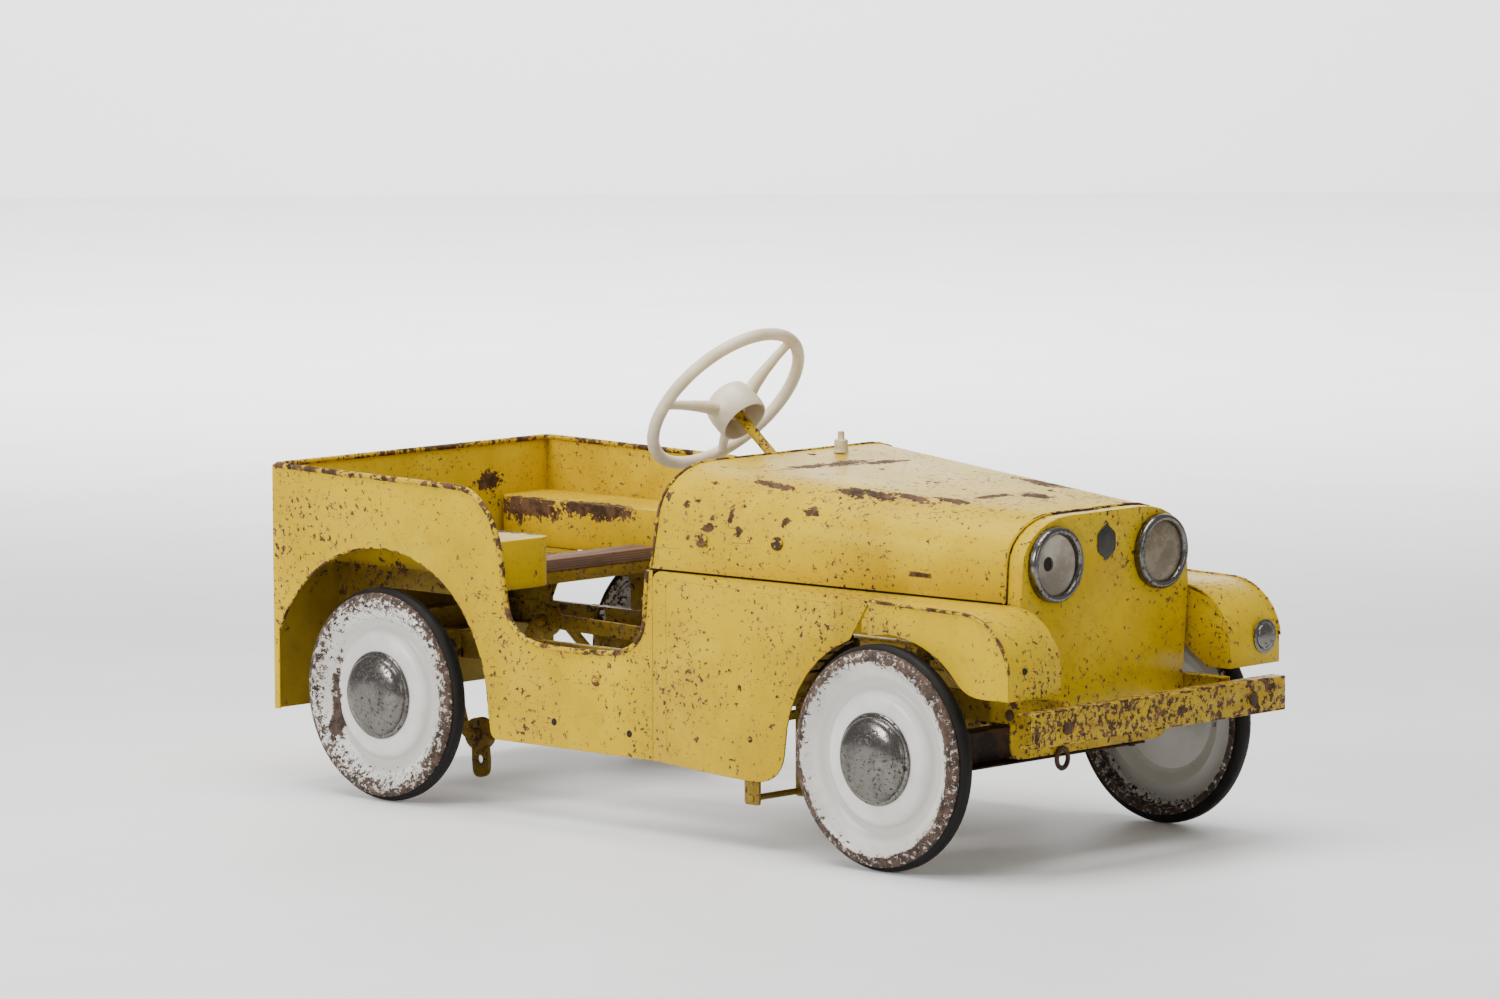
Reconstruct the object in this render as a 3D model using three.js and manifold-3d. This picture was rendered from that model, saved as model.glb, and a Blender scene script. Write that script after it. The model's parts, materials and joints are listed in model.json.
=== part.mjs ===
// A child's pressed-steel pedal car with an open tub, a short bonnet and a treadle drive to the rear axle.
// Millimetres, +X forwards, +Y to the car's left, +Z up. Every x below is counted from the rear axle; the
// whole car is then moved so that the middle of its length is at the origin.
import * as THREE from "three";
import { mergeVertices } from "three/addons/utils/BufferGeometryUtils.js";
import Module from "manifold-3d";

const wasm = await Module();
wasm.setup();

// ---------------------------------------------------------------- driving dimensions
const WHEELBASE = 626;
const TYRE_R = 100;
const TYRE_WIDTH = 15;
const HUB_CAP_R = 41;
const SHEET = 1.6; // body and chassis sheet
const GAP = 0.4; // between pieces that touch
const RUNNING = 0.4; // radial clearance of a turning fit
const BODY_HALF = 184; // half the width over the body sides
const REAR_OVERHANG = 160; // rear axle to the outside of the back panel
const BUMPER_REACH = 157; // front axle to the bumper's face
const NOSE_REACH = 93; // front axle to the nose's face
const NOSE_HALF = 113; // half the width of the nose at its widest
const COWL_X = 338; // rear axle to the bonnet's rear edge
const COWL_RISE = 91; // bonnet's height over the ledge at its rear edge
const NOSE_RISE = 73; // the same at the nose
const ARCH_GAP = 40.5; // rear wheel arch over the tyre
const FRONT_ARCH_GAP = 8; // front wheel arch over the tyre
const RIM_OVER_ARCH = 69; // tub rim over the top of the rear arch
const SEAT_UNDER_BOX = 46; // seat pan below the top of the wheel boxes
const SEAT_FRONT = 65; // rear axle to the front of the seat pan
const SEAT_HALF = 108; // half the width between the wheel boxes
const WHEEL_STANDOFF = 12.5; // outer face of a tyre beyond the body side
const AXLE_R = 5;
const CRANK_THROW = 50;
const CRANK_PIN_Y = { right: -68, left: 22 };
const PEDAL_Y = 42; // middle of a pedal arm from the centre line
const PEDAL_X = WHEELBASE - 165; // rear axle to the pedal pivot
const PEDAL_ARM = 90; // pivot to the connecting rod's pin
const ROD_LENGTH = PEDAL_X + 4; // crank pin to pedal pin
const STEERING_WHEEL_R = 81; // to the middle of the rim
const STEERING_RIM_R = 5.8;
const COLUMN_R = 4.75;
const TRACK_ARM = 45; // kingpin to track rod pin
const LAMP_R = 33.5;
const LAMP_Y = 71.2;

// ---------------------------------------------------------------- places worked out from them
const AXLE_Z = TYRE_R;
const FRONT = WHEELBASE;
const ARCH_R = TYRE_R + ARCH_GAP;
const ARCH_TOP = AXLE_Z - 5 + ARCH_R;
const BODY_BOTTOM = AXLE_Z - 30.5;
const RIM_Z = ARCH_TOP + RIM_OVER_ARCH;
const BOX_TOP = ARCH_TOP + 16.5;
const SEAT_Z = BOX_TOP - SEAT_UNDER_BOX;
const LEDGE_Z = ARCH_TOP + 6.5; // ledge at the cowl
const LEDGE_FRONT_Z = LEDGE_Z - 9; // ledge at the nose
const NOSE_X = FRONT + NOSE_REACH;
const BUMPER_X = FRONT + BUMPER_REACH;
const RAIL_TOP = AXLE_Z + 54;
const RAIL_BOTTOM = AXLE_Z + 29;
const RAIL_Y = NOSE_HALF + 1.3; // outer face of a chassis rail
const RAIL_IN = RAIL_Y - 8; // edge of its flanges
const TYRE_OUT = BODY_HALF + WHEEL_STANDOFF;
const TYRE_IN = TYRE_OUT - TYRE_WIDTH;
const DISC_FACE = TYRE_OUT + 3; // the disc's flat, where the hub cap sits
const HUB_IN = TYRE_IN - 14;
const KINGPIN_Y = HUB_IN - 22;
const AXLE_END = DISC_FACE - 1;
const SIDE_IN = BODY_HALF - SHEET;
const BOLT_HEAD = 2.8;

const LENGTH_FRONT = BUMPER_X + GAP + BOLT_HEAD;
const MIDDLE_X = (LENGTH_FRONT - REAR_OVERHANG) / 2;

// ---------------------------------------------------------------- finishes
const finish = (color, roughness, metalness) =>
  new THREE.MeshStandardMaterial({ color, roughness, metalness });
const yellowEnamel = finish(0xd9b31c, 0.55, 0.1);
const innerEnamel = finish(0x9a7d14, 0.7, 0.1);
const whiteEnamel = finish(0xc9c9c2, 0.45, 0.1);
const tyreRubber = finish(0x1d1d1e, 0.85, 0);
const dullChrome = finish(0x9b958c, 0.35, 0.9);
const creamPlastic = finish(0xb9a883, 0.5, 0);
const rustySteel = finish(0x4a3428, 0.75, 0.5);
const cloudyGlass = finish(0x8d877b, 0.3, 0);
const plywood = finish(0x6b5040, 0.8, 0);
const blackEnamel = finish(0x191714, 0.5, 0.1);

// ---------------------------------------------------------------- solids
// A closed geometry as a manifold-3d solid with its faces pointing outwards.
function manifoldOf(vertProperties, faces) {
  return new wasm.Manifold(new wasm.Mesh({ numProp: 3, vertProperties, triVerts: new Uint32Array(faces) }));
}
function solid(geometry) {
  const bare = geometry.index ? geometry.toNonIndexed() : geometry.clone();
  bare.deleteAttribute("normal");
  bare.deleteAttribute("uv");
  const merged = mergeVertices(bare, 1e-4);
  const vertProperties = merged.attributes.position.array;
  const faces = [];
  for (let i = 0; i < merged.index.count; i += 3) {
    const [a, b, c] = merged.index.array.slice(i, i + 3);
    if (a !== b && b !== c && c !== a) faces.push(a, b, c);
  }
  const made = manifoldOf(vertProperties, faces);
  return made.volume() > 0 ? made : manifoldOf(vertProperties, faces.reverse());
}

// A manifold-3d solid as a flat-shaded geometry.
function geometryOf(body) {
  const mesh = body.getMesh();
  const indexed = new THREE.BufferGeometry();
  indexed.setAttribute("position", new THREE.BufferAttribute(new Float32Array(mesh.vertProperties), 3));
  indexed.setIndex(new THREE.BufferAttribute(new Uint32Array(mesh.triVerts), 1));
  const geometry = indexed.toNonIndexed();
  geometry.computeVertexNormals();
  return geometry;
}

const join = (...bodies) => bodies.reduce((all, body) => all.add(body));
const cut = (body, ...tools) => tools.reduce((rest, tool) => rest.subtract(tool), body);

// The same geometry on the other side of the centre line.
function mirrored(geometry) {
  const copy = geometry.clone();
  const at = copy.attributes.position;
  for (let i = 0; i < at.count; i += 3) {
    const [a, b, c] = [0, 1, 2].map((k) => new THREE.Vector3().fromBufferAttribute(at, i + k));
    [a, c, b].forEach((v, k) => at.setXYZ(i + k, v.x, -v.y, v.z));
  }
  copy.computeVertexNormals();
  return copy;
}

function block(x0, x1, y0, y1, z0, z1) {
  const box = new THREE.BoxGeometry(x1 - x0, y1 - y0, z1 - z0);
  return solid(box.translate((x0 + x1) / 2, (y0 + y1) / 2, (z0 + z1) / 2));
}

// Plates: an outline drawn in two axes and given thickness along the third.
function extruded(shape, depth, segments) {
  return new THREE.ExtrudeGeometry(shape, { depth, bevelEnabled: false, curveSegments: segments });
}
function plateXZ(shape, y0, y1, segments = 8) {
  return solid(extruded(shape, y1 - y0, segments).rotateX(Math.PI / 2).translate(0, y1, 0));
}
function plateYZ(shape, x0, x1, segments = 8) {
  const turn = new THREE.Matrix4().makeBasis(
    new THREE.Vector3(0, 1, 0),
    new THREE.Vector3(0, 0, 1),
    new THREE.Vector3(1, 0, 0),
  );
  return solid(extruded(shape, x1 - x0, segments).applyMatrix4(turn).translate(x0, 0, 0));
}
function plateXY(shape, z0, z1, segments = 8) {
  return solid(extruded(shape, z1 - z0, segments).translate(0, 0, z0));
}

// An outline through corners [a, b, radius]; a corner with no radius is sharp.
function outline(corners) {
  const shape = new THREE.Shape();
  corners.forEach(([a, b, radius = 0], i) => {
    const corner = new THREE.Vector2(a, b);
    const towards = (step) => {
      const next = corners[(i + step + corners.length) % corners.length];
      return new THREE.Vector2(next[0], next[1]).sub(corner).setLength(radius).add(corner);
    };
    const start = radius ? towards(-1) : corner;
    if (i) shape.lineTo(start.x, start.y);
    else shape.moveTo(start.x, start.y);
    if (!radius) return;
    const end = towards(1);
    shape.quadraticCurveTo(a, b, end.x, end.y);
  });
  shape.closePath();
  return shape;
}

function disc(u, v, radius) {
  return new THREE.Shape().absarc(u, v, radius, 0, 2 * Math.PI, false);
}

// A round bar between two points, with a second radius for a taper.
function bar(from, to, radius, endRadius = radius, sides = 16) {
  const axis = new THREE.Vector3().subVectors(to, from);
  const up = new THREE.Vector3(0, 1, 0);
  const turn = new THREE.Quaternion().setFromUnitVectors(up, axis.clone().normalize());
  const rod = new THREE.CylinderGeometry(endRadius, radius, axis.length(), sides);
  rod.translate(0, axis.length() / 2, 0).applyQuaternion(turn);
  return solid(rod.translate(from.x, from.y, from.z));
}

// A round bar bent at each inner point, with the given bend radius.
function bentBar(points, radius, bend, sides = 12) {
  const stations = [points[0]];
  for (let i = 1; i < points.length - 1; i++) {
    const before = points[i].clone().sub(points[i - 1]).setLength(-bend).add(points[i]);
    const after = points[i + 1].clone().sub(points[i]).setLength(bend).add(points[i]);
    stations.push(...new THREE.QuadraticBezierCurve3(before, points[i], after).getPoints(4));
  }
  stations.push(points[points.length - 1]);
  return solid(sweptCircle(stations, radius, sides));
}

// A closed tube whose rings stand square to a chain of points.
function sweptCircle(stations, radius, sides) {
  const side = new THREE.Vector3();
  const rings = stations.map((point, k) => {
    const along = new THREE.Vector3().subVectors(
      stations[Math.min(k + 1, stations.length - 1)],
      stations[Math.max(k - 1, 0)],
    ).normalize();
    if (!k) side.set(along.z, along.x, along.y);
    side.addScaledVector(along, -side.dot(along)).normalize();
    const other = new THREE.Vector3().crossVectors(along, side);
    return Array.from({ length: sides }, (_, j) => {
      const angle = (2 * Math.PI * j) / sides;
      const out = side.clone().multiplyScalar(radius * Math.cos(angle));
      return out.addScaledVector(other, radius * Math.sin(angle)).add(point);
    });
  });
  return skinned(rings);
}

// A closed surface over rings of equal length; each end is closed by a fan about its own middle.
function skinned(rings) {
  const corners = [];
  const sides = rings[0].length;
  const middle = (ring) => ring.reduce((sum, p) => sum.add(p), new THREE.Vector3()).divideScalar(sides);
  rings.slice(1).forEach((ring, k) => {
    for (let j = 0; j < sides; j++) {
      const [a, b] = [rings[k][j], rings[k][(j + 1) % sides]];
      const [c, d] = [ring[j], ring[(j + 1) % sides]];
      corners.push(a, b, c, b, d, c);
    }
  });
  const first = rings[0];
  const last = rings[rings.length - 1];
  for (let j = 0; j < sides; j++) {
    corners.push(first[(j + 1) % sides], first[j], middle(first));
    corners.push(last[j], last[(j + 1) % sides], middle(last));
  }
  return new THREE.BufferGeometry().setFromPoints(corners);
}

// A sheet between an outer and an inner chain of points at each station, closed at both ends.
function sheetLoft(stations) {
  const corners = [];
  const quad = (a, b, c, d) => corners.push(a, b, c, a, c, d);
  const count = stations[0].outer.length;
  stations.slice(1).forEach((next, k) => {
    const here = stations[k];
    for (let j = 0; j + 1 < count; j++) {
      quad(here.outer[j], here.outer[j + 1], next.outer[j + 1], next.outer[j]);
      quad(here.inner[j + 1], here.inner[j], next.inner[j], next.inner[j + 1]);
    }
    quad(here.inner[0], here.outer[0], next.outer[0], next.inner[0]);
    quad(here.outer[count - 1], here.inner[count - 1], next.inner[count - 1], next.outer[count - 1]);
  });
  const ends = [stations[0], stations[stations.length - 1]];
  ends.forEach(({ outer, inner }, e) => {
    for (let j = 0; j + 1 < count; j++) {
      if (e) quad(outer[j], outer[j + 1], inner[j + 1], inner[j]);
      else quad(inner[j], inner[j + 1], outer[j + 1], outer[j]);
    }
  });
  return solid(new THREE.BufferGeometry().setFromPoints(corners));
}

// A turned piece about the Y axis: the profile's points are [radius, y].
function turned(profile, segments, x = 0, z = 0) {
  const points = profile.map(([r, y]) => new THREE.Vector2(r, y));
  return solid(new THREE.LatheGeometry(points, segments).translate(x, 0, z));
}
const closed = (profile) => [...profile, profile[0]];

// ---------------------------------------------------------------- the model
const car = new THREE.Group();
car.name = "pedal_car";
const body = new THREE.Group();
body.position.x = -MIDDLE_X;
car.add(body);

function add(name, part, material) {
  const geometry = part instanceof THREE.BufferGeometry ? part : geometryOf(part);
  const mesh = new THREE.Mesh(geometry, material);
  mesh.name = name;
  body.add(mesh);
}

// One piece for each side: the part is drawn on the car's left.
function addPair(name, part, material) {
  const geometry = geometryOf(part);
  add(name + "_left", geometry, material);
  add(name + "_right", mirrored(geometry), material);
}

const at = (x, y, z) => new THREE.Vector3(x, y, z);
const mix = (a, b, t) => a + (b - a) * t;

// ---------------------------------------------------------------- tub
const OPENING_FRONT = COWL_X - 4;
const OPENING_SILL = AXLE_Z + 61;
const SEAM_X = COWL_X + 3; // tub side meets front panel
const TUB_REAR_X = -REAR_OVERHANG;
const ARCH_CENTRE_X = -12;
const REAR_STRIP = 7.5; // side sheet left behind the rear arch

// The edge of the cockpit opening, from the rear top corner forwards and down to the bonnet.
function openingEdge() {
  const edge = new THREE.Path();
  const rimFront = RIM_Z - 4;
  edge.moveTo(TUB_REAR_X, RIM_Z);
  edge.lineTo(88, rimFront);
  edge.bezierCurveTo(116, rimFront, 137, rimFront - 20, 146, rimFront - 57);
  edge.lineTo(152, OPENING_SILL + 44);
  edge.bezierCurveTo(155, OPENING_SILL + 21, 164, OPENING_SILL + 4, 200, OPENING_SILL + 1);
  edge.quadraticCurveTo(239, OPENING_SILL - 1, OPENING_FRONT - 48, OPENING_SILL + 2);
  edge.bezierCurveTo(
    OPENING_FRONT - 20, OPENING_SILL + 4,
    OPENING_FRONT - 4, OPENING_SILL + 16,
    OPENING_FRONT - 3, OPENING_SILL + 44,
  );
  edge.lineTo(OPENING_FRONT, LEDGE_Z);
  return edge.getPoints(8);
}

function tubSide() {
  const shape = new THREE.Shape();
  const stripX = TUB_REAR_X + REAR_STRIP;
  const longR = ARCH_R + 10.5;
  const startAngle = Math.acos((stripX - ARCH_CENTRE_X) / longR);
  const archZ = ARCH_TOP - ARCH_R;
  shape.moveTo(TUB_REAR_X, BODY_BOTTOM + 2);
  shape.lineTo(stripX, BODY_BOTTOM + 2);
  shape.absellipse(ARCH_CENTRE_X, archZ, longR, ARCH_R, startAngle, Math.PI / 2, true);
  shape.absarc(ARCH_CENTRE_X, archZ, ARCH_R, Math.PI / 2, 0, true);
  shape.lineTo(ARCH_CENTRE_X + ARCH_R + 3, BODY_BOTTOM + 8);
  shape.quadraticCurveTo(ARCH_CENTRE_X + ARCH_R + 5, BODY_BOTTOM, ARCH_CENTRE_X + ARCH_R + 13, BODY_BOTTOM);
  shape.lineTo(SEAM_X - GAP, BODY_BOTTOM);
  shape.lineTo(SEAM_X - GAP, LEDGE_Z);
  openingEdge().reverse().forEach((point) => shape.lineTo(point.x, point.y));
  shape.closePath();
  return plateXZ(shape, SIDE_IN, BODY_HALF, 14);
}

function tubBack() {
  return block(TUB_REAR_X, TUB_REAR_X + SHEET, GAP - SIDE_IN, SIDE_IN - GAP, BODY_BOTTOM + 2, RIM_Z);
}

const BOX_REAR_X = TUB_REAR_X + SHEET + GAP;
const BOX_FRONT_X = ARCH_CENTRE_X + ARCH_R + 12;
const BOX_OUT = SIDE_IN - GAP;

// The bench over a rear wheel: a lid with round corners and a skirt round three sides.
function wheelBox() {
  const plan = (inset, reach) =>
    outline([
      [BOX_REAR_X + inset, reach],
      [BOX_REAR_X + inset, SEAT_HALF + inset, 26 - inset],
      [BOX_FRONT_X - inset, SEAT_HALF + inset, 20 - inset],
      [BOX_FRONT_X - inset, reach],
    ]);
  const whole = plateXY(plan(0, BOX_OUT), SEAT_Z + GAP, BOX_TOP);
  const hollow = plateXY(plan(SHEET, BOX_OUT + 5), SEAT_Z - 5, BOX_TOP - SHEET);
  return cut(whole, hollow);
}

const PAN_HALF = SEAT_HALF - GAP;
function seatPan() {
  const deck = block(BOX_REAR_X, SEAT_FRONT, -PAN_HALF, PAN_HALF, SEAT_Z - SHEET, SEAT_Z);
  const lip = block(SEAT_FRONT - SHEET, SEAT_FRONT, -PAN_HALF, PAN_HALF, SEAT_Z - 11.5, SEAT_Z);
  const flangeZ = SEAT_Z - 20;
  const legZ = RAIL_TOP + GAP;
  const flange = outline([
    [BOX_REAR_X + 8, SEAT_Z],
    [BOX_REAR_X + 8, legZ],
    [-80, legZ, 4],
    [-76, flangeZ, 6],
    [30, flangeZ, 5],
    [30, legZ],
    [48, legZ],
    [48, flangeZ, 5],
    [SEAT_FRONT, flangeZ],
    [SEAT_FRONT, SEAT_Z],
  ]);
  const left = plateXZ(flange, PAN_HALF - SHEET, PAN_HALF, 4);
  const right = plateXZ(flange, -PAN_HALF, SHEET - PAN_HALF, 4);
  return join(deck, lip, left, right);
}

const BOARD_DEPTH = 32;
const BOARD_THICKNESS = 11.5;
function seatBoard() {
  const half = SEAT_HALF - 3;
  const z = SEAT_Z + GAP;
  return block(SEAT_FRONT + 1 - BOARD_DEPTH, SEAT_FRONT + 1, -half, half, z, z + BOARD_THICKNESS);
}

// ---------------------------------------------------------------- bonnet, nose and dashboard
const BONNET_FRONT = NOSE_X - 16.5;
const BONNET_LIFT = 2; // bonnet's lower edge over the ledge
const NOSE_BOTTOM = AXLE_Z + 40;

// Half width, heights and corner radii of the bonnet at a place along the car.
function section(x) {
  const t = (x - COWL_X) / (NOSE_X - COWL_X);
  const low = mix(LEDGE_Z, LEDGE_FRONT_Z, t) + BONNET_LIFT;
  return {
    half: mix(BODY_HALF, NOSE_HALF, t),
    low,
    high: low + mix(COWL_RISE, NOSE_RISE, t),
    lean: mix(9, 2, t),
    shoulder: mix(40, 32, t),
    wide: mix(68, 62, t),
  };
}

// The bonnet's outline as points [y, z] from the left lower edge over the top to the right one.
function hoodPoints(x, inset, steps = 7) {
  const { half, low, high, lean, shoulder, wide } = section(x);
  const left = [[half - inset, low]];
  const tall = high - low - shoulder;
  for (let i = 0; i <= steps; i++) {
    const angle = (Math.PI / 2) * (i / steps);
    const y = half - lean - wide + (wide - inset) * Math.cos(angle);
    left.push([y, low + shoulder + (tall - inset) * Math.sin(angle)]);
  }
  const right = left.slice().reverse().map(([y, z]) => [-y, z]);
  return [...left, ...right];
}

function bonnet() {
  const station = (x) => ({
    outer: hoodPoints(x, 0).map(([y, z]) => at(x, y, z)),
    inner: hoodPoints(x, SHEET).map(([y, z]) => at(x, y, z)),
  });
  return sheetLoft([COWL_X, mix(COWL_X, BONNET_FRONT, 0.5), BONNET_FRONT].map(station));
}

// The nose's outline: the bonnet's front section carried down to the bumper.
function noseOutline(inset) {
  const hood = hoodPoints(NOSE_X, inset);
  const shape = new THREE.Shape();
  const foot = RAIL_IN - GAP - inset;
  shape.moveTo(foot, NOSE_BOTTOM + inset);
  shape.lineTo(foot, RAIL_TOP + GAP);
  hood.forEach(([y, z]) => shape.lineTo(y, z));
  shape.lineTo(-foot, RAIL_TOP + GAP);
  shape.lineTo(-foot, NOSE_BOTTOM + inset);
  shape.closePath();
  return shape;
}

const LAMP_Z = LEDGE_Z + 24.5;
const DISH_R = LAMP_R - 4.5;
function nosePanel() {
  const skirt = plateYZ(noseOutline(0), BONNET_FRONT + GAP, NOSE_X);
  const hollow = plateYZ(noseOutline(SHEET), BONNET_FRONT - 5, NOSE_X - SHEET);
  const lampHole = (y) => plateYZ(disc(y, LAMP_Z, DISH_R + GAP), NOSE_X - 5, NOSE_X + 5, 24);
  return cut(skirt, hollow, lampHole(-LAMP_Y), lampHole(LAMP_Y));
}

const DASH_X = COWL_X + 6;
const COLUMN_TOP = at(COWL_X - 79.6, 0, AXLE_Z + 279);
const COLUMN_FOOT = at(FRONT - 30.7, 0, AXLE_Z + 1.3);
const columnAlong = COLUMN_FOOT.clone().sub(COLUMN_TOP).normalize();
const onColumn = (distance) => COLUMN_TOP.clone().addScaledVector(columnAlong, distance);

function dashboard() {
  const shape = new THREE.Shape();
  hoodPoints(DASH_X, SHEET + GAP + 0.3).forEach(([y, z], i) => {
    if (i) shape.lineTo(y, z);
    else shape.moveTo(y, z);
  });
  shape.closePath();
  const columnZ = onColumn((DASH_X - COLUMN_TOP.x) / columnAlong.x).z;
  const hole = plateYZ(disc(0, columnZ, COLUMN_R + 4), DASH_X - 5, DASH_X + 5, 16);
  return cut(plateYZ(shape, DASH_X, DASH_X + SHEET), hole);
}

// ---------------------------------------------------------------- front panels and wings
const WING_SEAM_X = FRONT - 21;
const WING_IN = NOSE_HALF + 1.5;
const WING_FRONT = BUMPER_X - 17;
const WING_BOTTOM = AXLE_Z + 60.5;
const PANEL_BOTTOM = AXLE_Z - 37.5;
const ledgeZ = (x) => mix(LEDGE_Z, LEDGE_FRONT_Z, (x - COWL_X) / (NOSE_X - COWL_X));
const FRONT_ARCH_TOP = AXLE_Z + TYRE_R + FRONT_ARCH_GAP;

// Points of the front arch from low behind the wheel, over it, and down to the wing's tip.
function frontArch() {
  const edge = new THREE.Path();
  const span = TYRE_R + FRONT_ARCH_GAP;
  edge.moveTo(FRONT - span - 15, AXLE_Z - 4);
  const ahead = (share) => FRONT + TYRE_R * share;
  edge.bezierCurveTo(
    FRONT - span - 12, AXLE_Z + 52, FRONT - span + 30, FRONT_ARCH_TOP - 3, FRONT + 2, FRONT_ARCH_TOP,
  );
  edge.bezierCurveTo(
    ahead(0.32), FRONT_ARCH_TOP - 1, ahead(0.62), FRONT_ARCH_TOP - 14, ahead(0.78), FRONT_ARCH_TOP - 33,
  );
  edge.bezierCurveTo(ahead(0.88), FRONT_ARCH_TOP - 44, ahead(0.96), WING_BOTTOM, ahead(1.14), WING_BOTTOM);
  return edge.getPoints(9);
}

// A flat ledge that runs inwards from the body side, under the bonnet's lower edge.
function ledge(x0, x1) {
  const station = (x) => {
    const inner = Math.max(section(Math.min(x, BONNET_FRONT)).half - 9, WING_IN);
    return {
      outer: [at(x, inner, ledgeZ(x)), at(x, BODY_HALF, ledgeZ(x))],
      inner: [at(x, inner, ledgeZ(x) - SHEET), at(x, BODY_HALF, ledgeZ(x) - SHEET)],
    };
  };
  return sheetLoft([x0, x1].map(station));
}

function frontPanel() {
  const arch = frontArch().filter((point) => point.x < WING_SEAM_X - 6);
  const last = arch[arch.length - 1];
  const shape = new THREE.Shape();
  const foot = arch[0];
  shape.moveTo(SEAM_X, BODY_BOTTOM);
  shape.lineTo(FRONT - 184, PANEL_BOTTOM + 0.5);
  shape.lineTo(foot.x - 36, PANEL_BOTTOM);
  shape.bezierCurveTo(foot.x - 12, PANEL_BOTTOM, foot.x - 1, PANEL_BOTTOM + 14, foot.x, foot.y);
  arch.forEach((point) => shape.lineTo(point.x, point.y));
  shape.lineTo(last.x + 2, last.y + 2);
  shape.lineTo(WING_SEAM_X - GAP, ledgeZ(WING_SEAM_X));
  shape.lineTo(SEAM_X + 12, ledgeZ(SEAM_X));
  shape.quadraticCurveTo(SEAM_X, ledgeZ(SEAM_X), SEAM_X, ledgeZ(SEAM_X) - 12);
  shape.closePath();
  return join(plateXZ(shape, SIDE_IN, BODY_HALF), ledge(SEAM_X + 12, WING_SEAM_X - GAP));
}

// The wing's top and front line, offset inwards by the given amount.
function wingLine(inset) {
  const line = new THREE.Path();
  const bend = FRONT + 90;
  line.moveTo(WING_SEAM_X, ledgeZ(WING_SEAM_X) - inset);
  line.lineTo(bend, ledgeZ(bend) - inset);
  line.bezierCurveTo(
    bend + 28 - inset, ledgeZ(bend) - 2 - inset,
    WING_FRONT - 1 - inset, ledgeZ(bend) - 26,
    WING_FRONT - inset, ledgeZ(bend) - 48,
  );
  line.lineTo(WING_FRONT - inset, WING_BOTTOM);
  return line.getPoints(8);
}

function wing() {
  const strip = new THREE.Shape([...wingLine(0), ...wingLine(SHEET).reverse()]);
  const arch = frontArch().filter((point) => point.x >= WING_SEAM_X - 6);
  const side = new THREE.Shape([...wingLine(0), ...arch.reverse()]);
  const tip = arch[0];
  const inner = outline([
    [NOSE_X - 25, ledgeZ(NOSE_X) - 2],
    [FRONT + 84, ledgeZ(NOSE_X) - 1],
    [WING_FRONT - 20, ledgeZ(NOSE_X) - 12, 8],
    [WING_FRONT - 1, ledgeZ(NOSE_X) - 36, 12],
    [WING_FRONT - 1, WING_BOTTOM],
    [tip.x, WING_BOTTOM],
    [NOSE_X - 4, WING_BOTTOM + 16, 12],
    [NOSE_X - 25, WING_BOTTOM + 46],
  ]);
  return join(
    plateXZ(strip, WING_IN, BODY_HALF),
    plateXZ(side, SIDE_IN, BODY_HALF),
    plateXZ(inner, WING_IN, WING_IN + SHEET),
  );
}

// ---------------------------------------------------------------- lamps, post and badge
function lampBezel() {
  const profile = closed([
    [DISH_R, 0],
    [LAMP_R, 0],
    [LAMP_R, 3.5],
    [LAMP_R - 2, 7.5],
    [LAMP_R - 5, 9.5],
    [DISH_R - 1, 8],
    [DISH_R - 1, 1.5],
  ]);
  return profile.map(([r, s]) => [r, s + GAP]);
}

// A piece turned about the X axis, facing forwards from x.
function facing(profile, x, y, z, segments) {
  const points = profile.map(([r, s]) => new THREE.Vector2(r, s));
  const lathe = new THREE.LatheGeometry(points, segments).rotateZ(-Math.PI / 2);
  return solid(lathe.translate(x, y, z));
}

const LENS_R = DISH_R - 1.4;
const dishProfile = [
  [0, -6],
  [12, -5],
  [LENS_R, 3.5],
  [LENS_R, 5.2],
  [11, -3.2],
  [0, -4.4],
];
const lensProfile = [[0, 0.5], [LENS_R, 0.5], [LENS_R, 3.5], [LENS_R - 3, 6.2], [0, 7]];

const SIDE_LAMP = at(WING_FRONT, BODY_HALF - 21.5, AXLE_Z + 85.4);
const sideLampProfile = [[0, GAP], [15.5, GAP], [15.5, 2.6], [13.6, 4.4], [6, 5.4], [0, 5.6]];

const POST = at(COWL_X + 30.6, 37, 0);
function post() {
  const foot = section(POST.x - 7).high + GAP;
  const profile = [
    [0, 0], [7, 0], [7, 1.5], [6.4, 2], [6.4, 11],
    [5.6, 12], [3.3, 12.4], [3.1, 19], [2.4, 19.6], [0, 19.6],
  ];
  const lathe = new THREE.LatheGeometry(profile.map(([r, s]) => new THREE.Vector2(r, s)), 20);
  return solid(lathe.rotateX(Math.PI / 2).translate(POST.x, POST.y, foot));
}

function badge() {
  const shape = outline([[0, -16, 2], [12, -7, 2], [12, 8, 2], [0, 17, 2], [-12, 8, 2], [-12, -7, 2]]);
  return plateYZ(shape, NOSE_X + GAP, NOSE_X + GAP + 0.9, 3).translate([0, 0, LEDGE_Z + 38]);
}

// ---------------------------------------------------------------- bumper and chassis
const BUMPER_HALF = 172;
const BUMPER_TOP = AXLE_Z + 50.5;
const BUMPER_BOTTOM = AXLE_Z + 20.2;
const BUMPER_DEPTH = 16;
const BUMPER_BOLT = at(BUMPER_X, RAIL_Y + 12, AXLE_Z + 34);

// A channel's section with its web at u0 and its flanges reaching to u1.
function channel(u0, u1, v0, v1) {
  const web = u0 + Math.sign(u1 - u0) * SHEET;
  return outline([
    [u0, v0], [u1, v0], [u1, v0 + SHEET], [web, v0 + SHEET],
    [web, v1 - SHEET], [u1, v1 - SHEET], [u1, v1], [u0, v1],
  ]);
}

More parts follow.
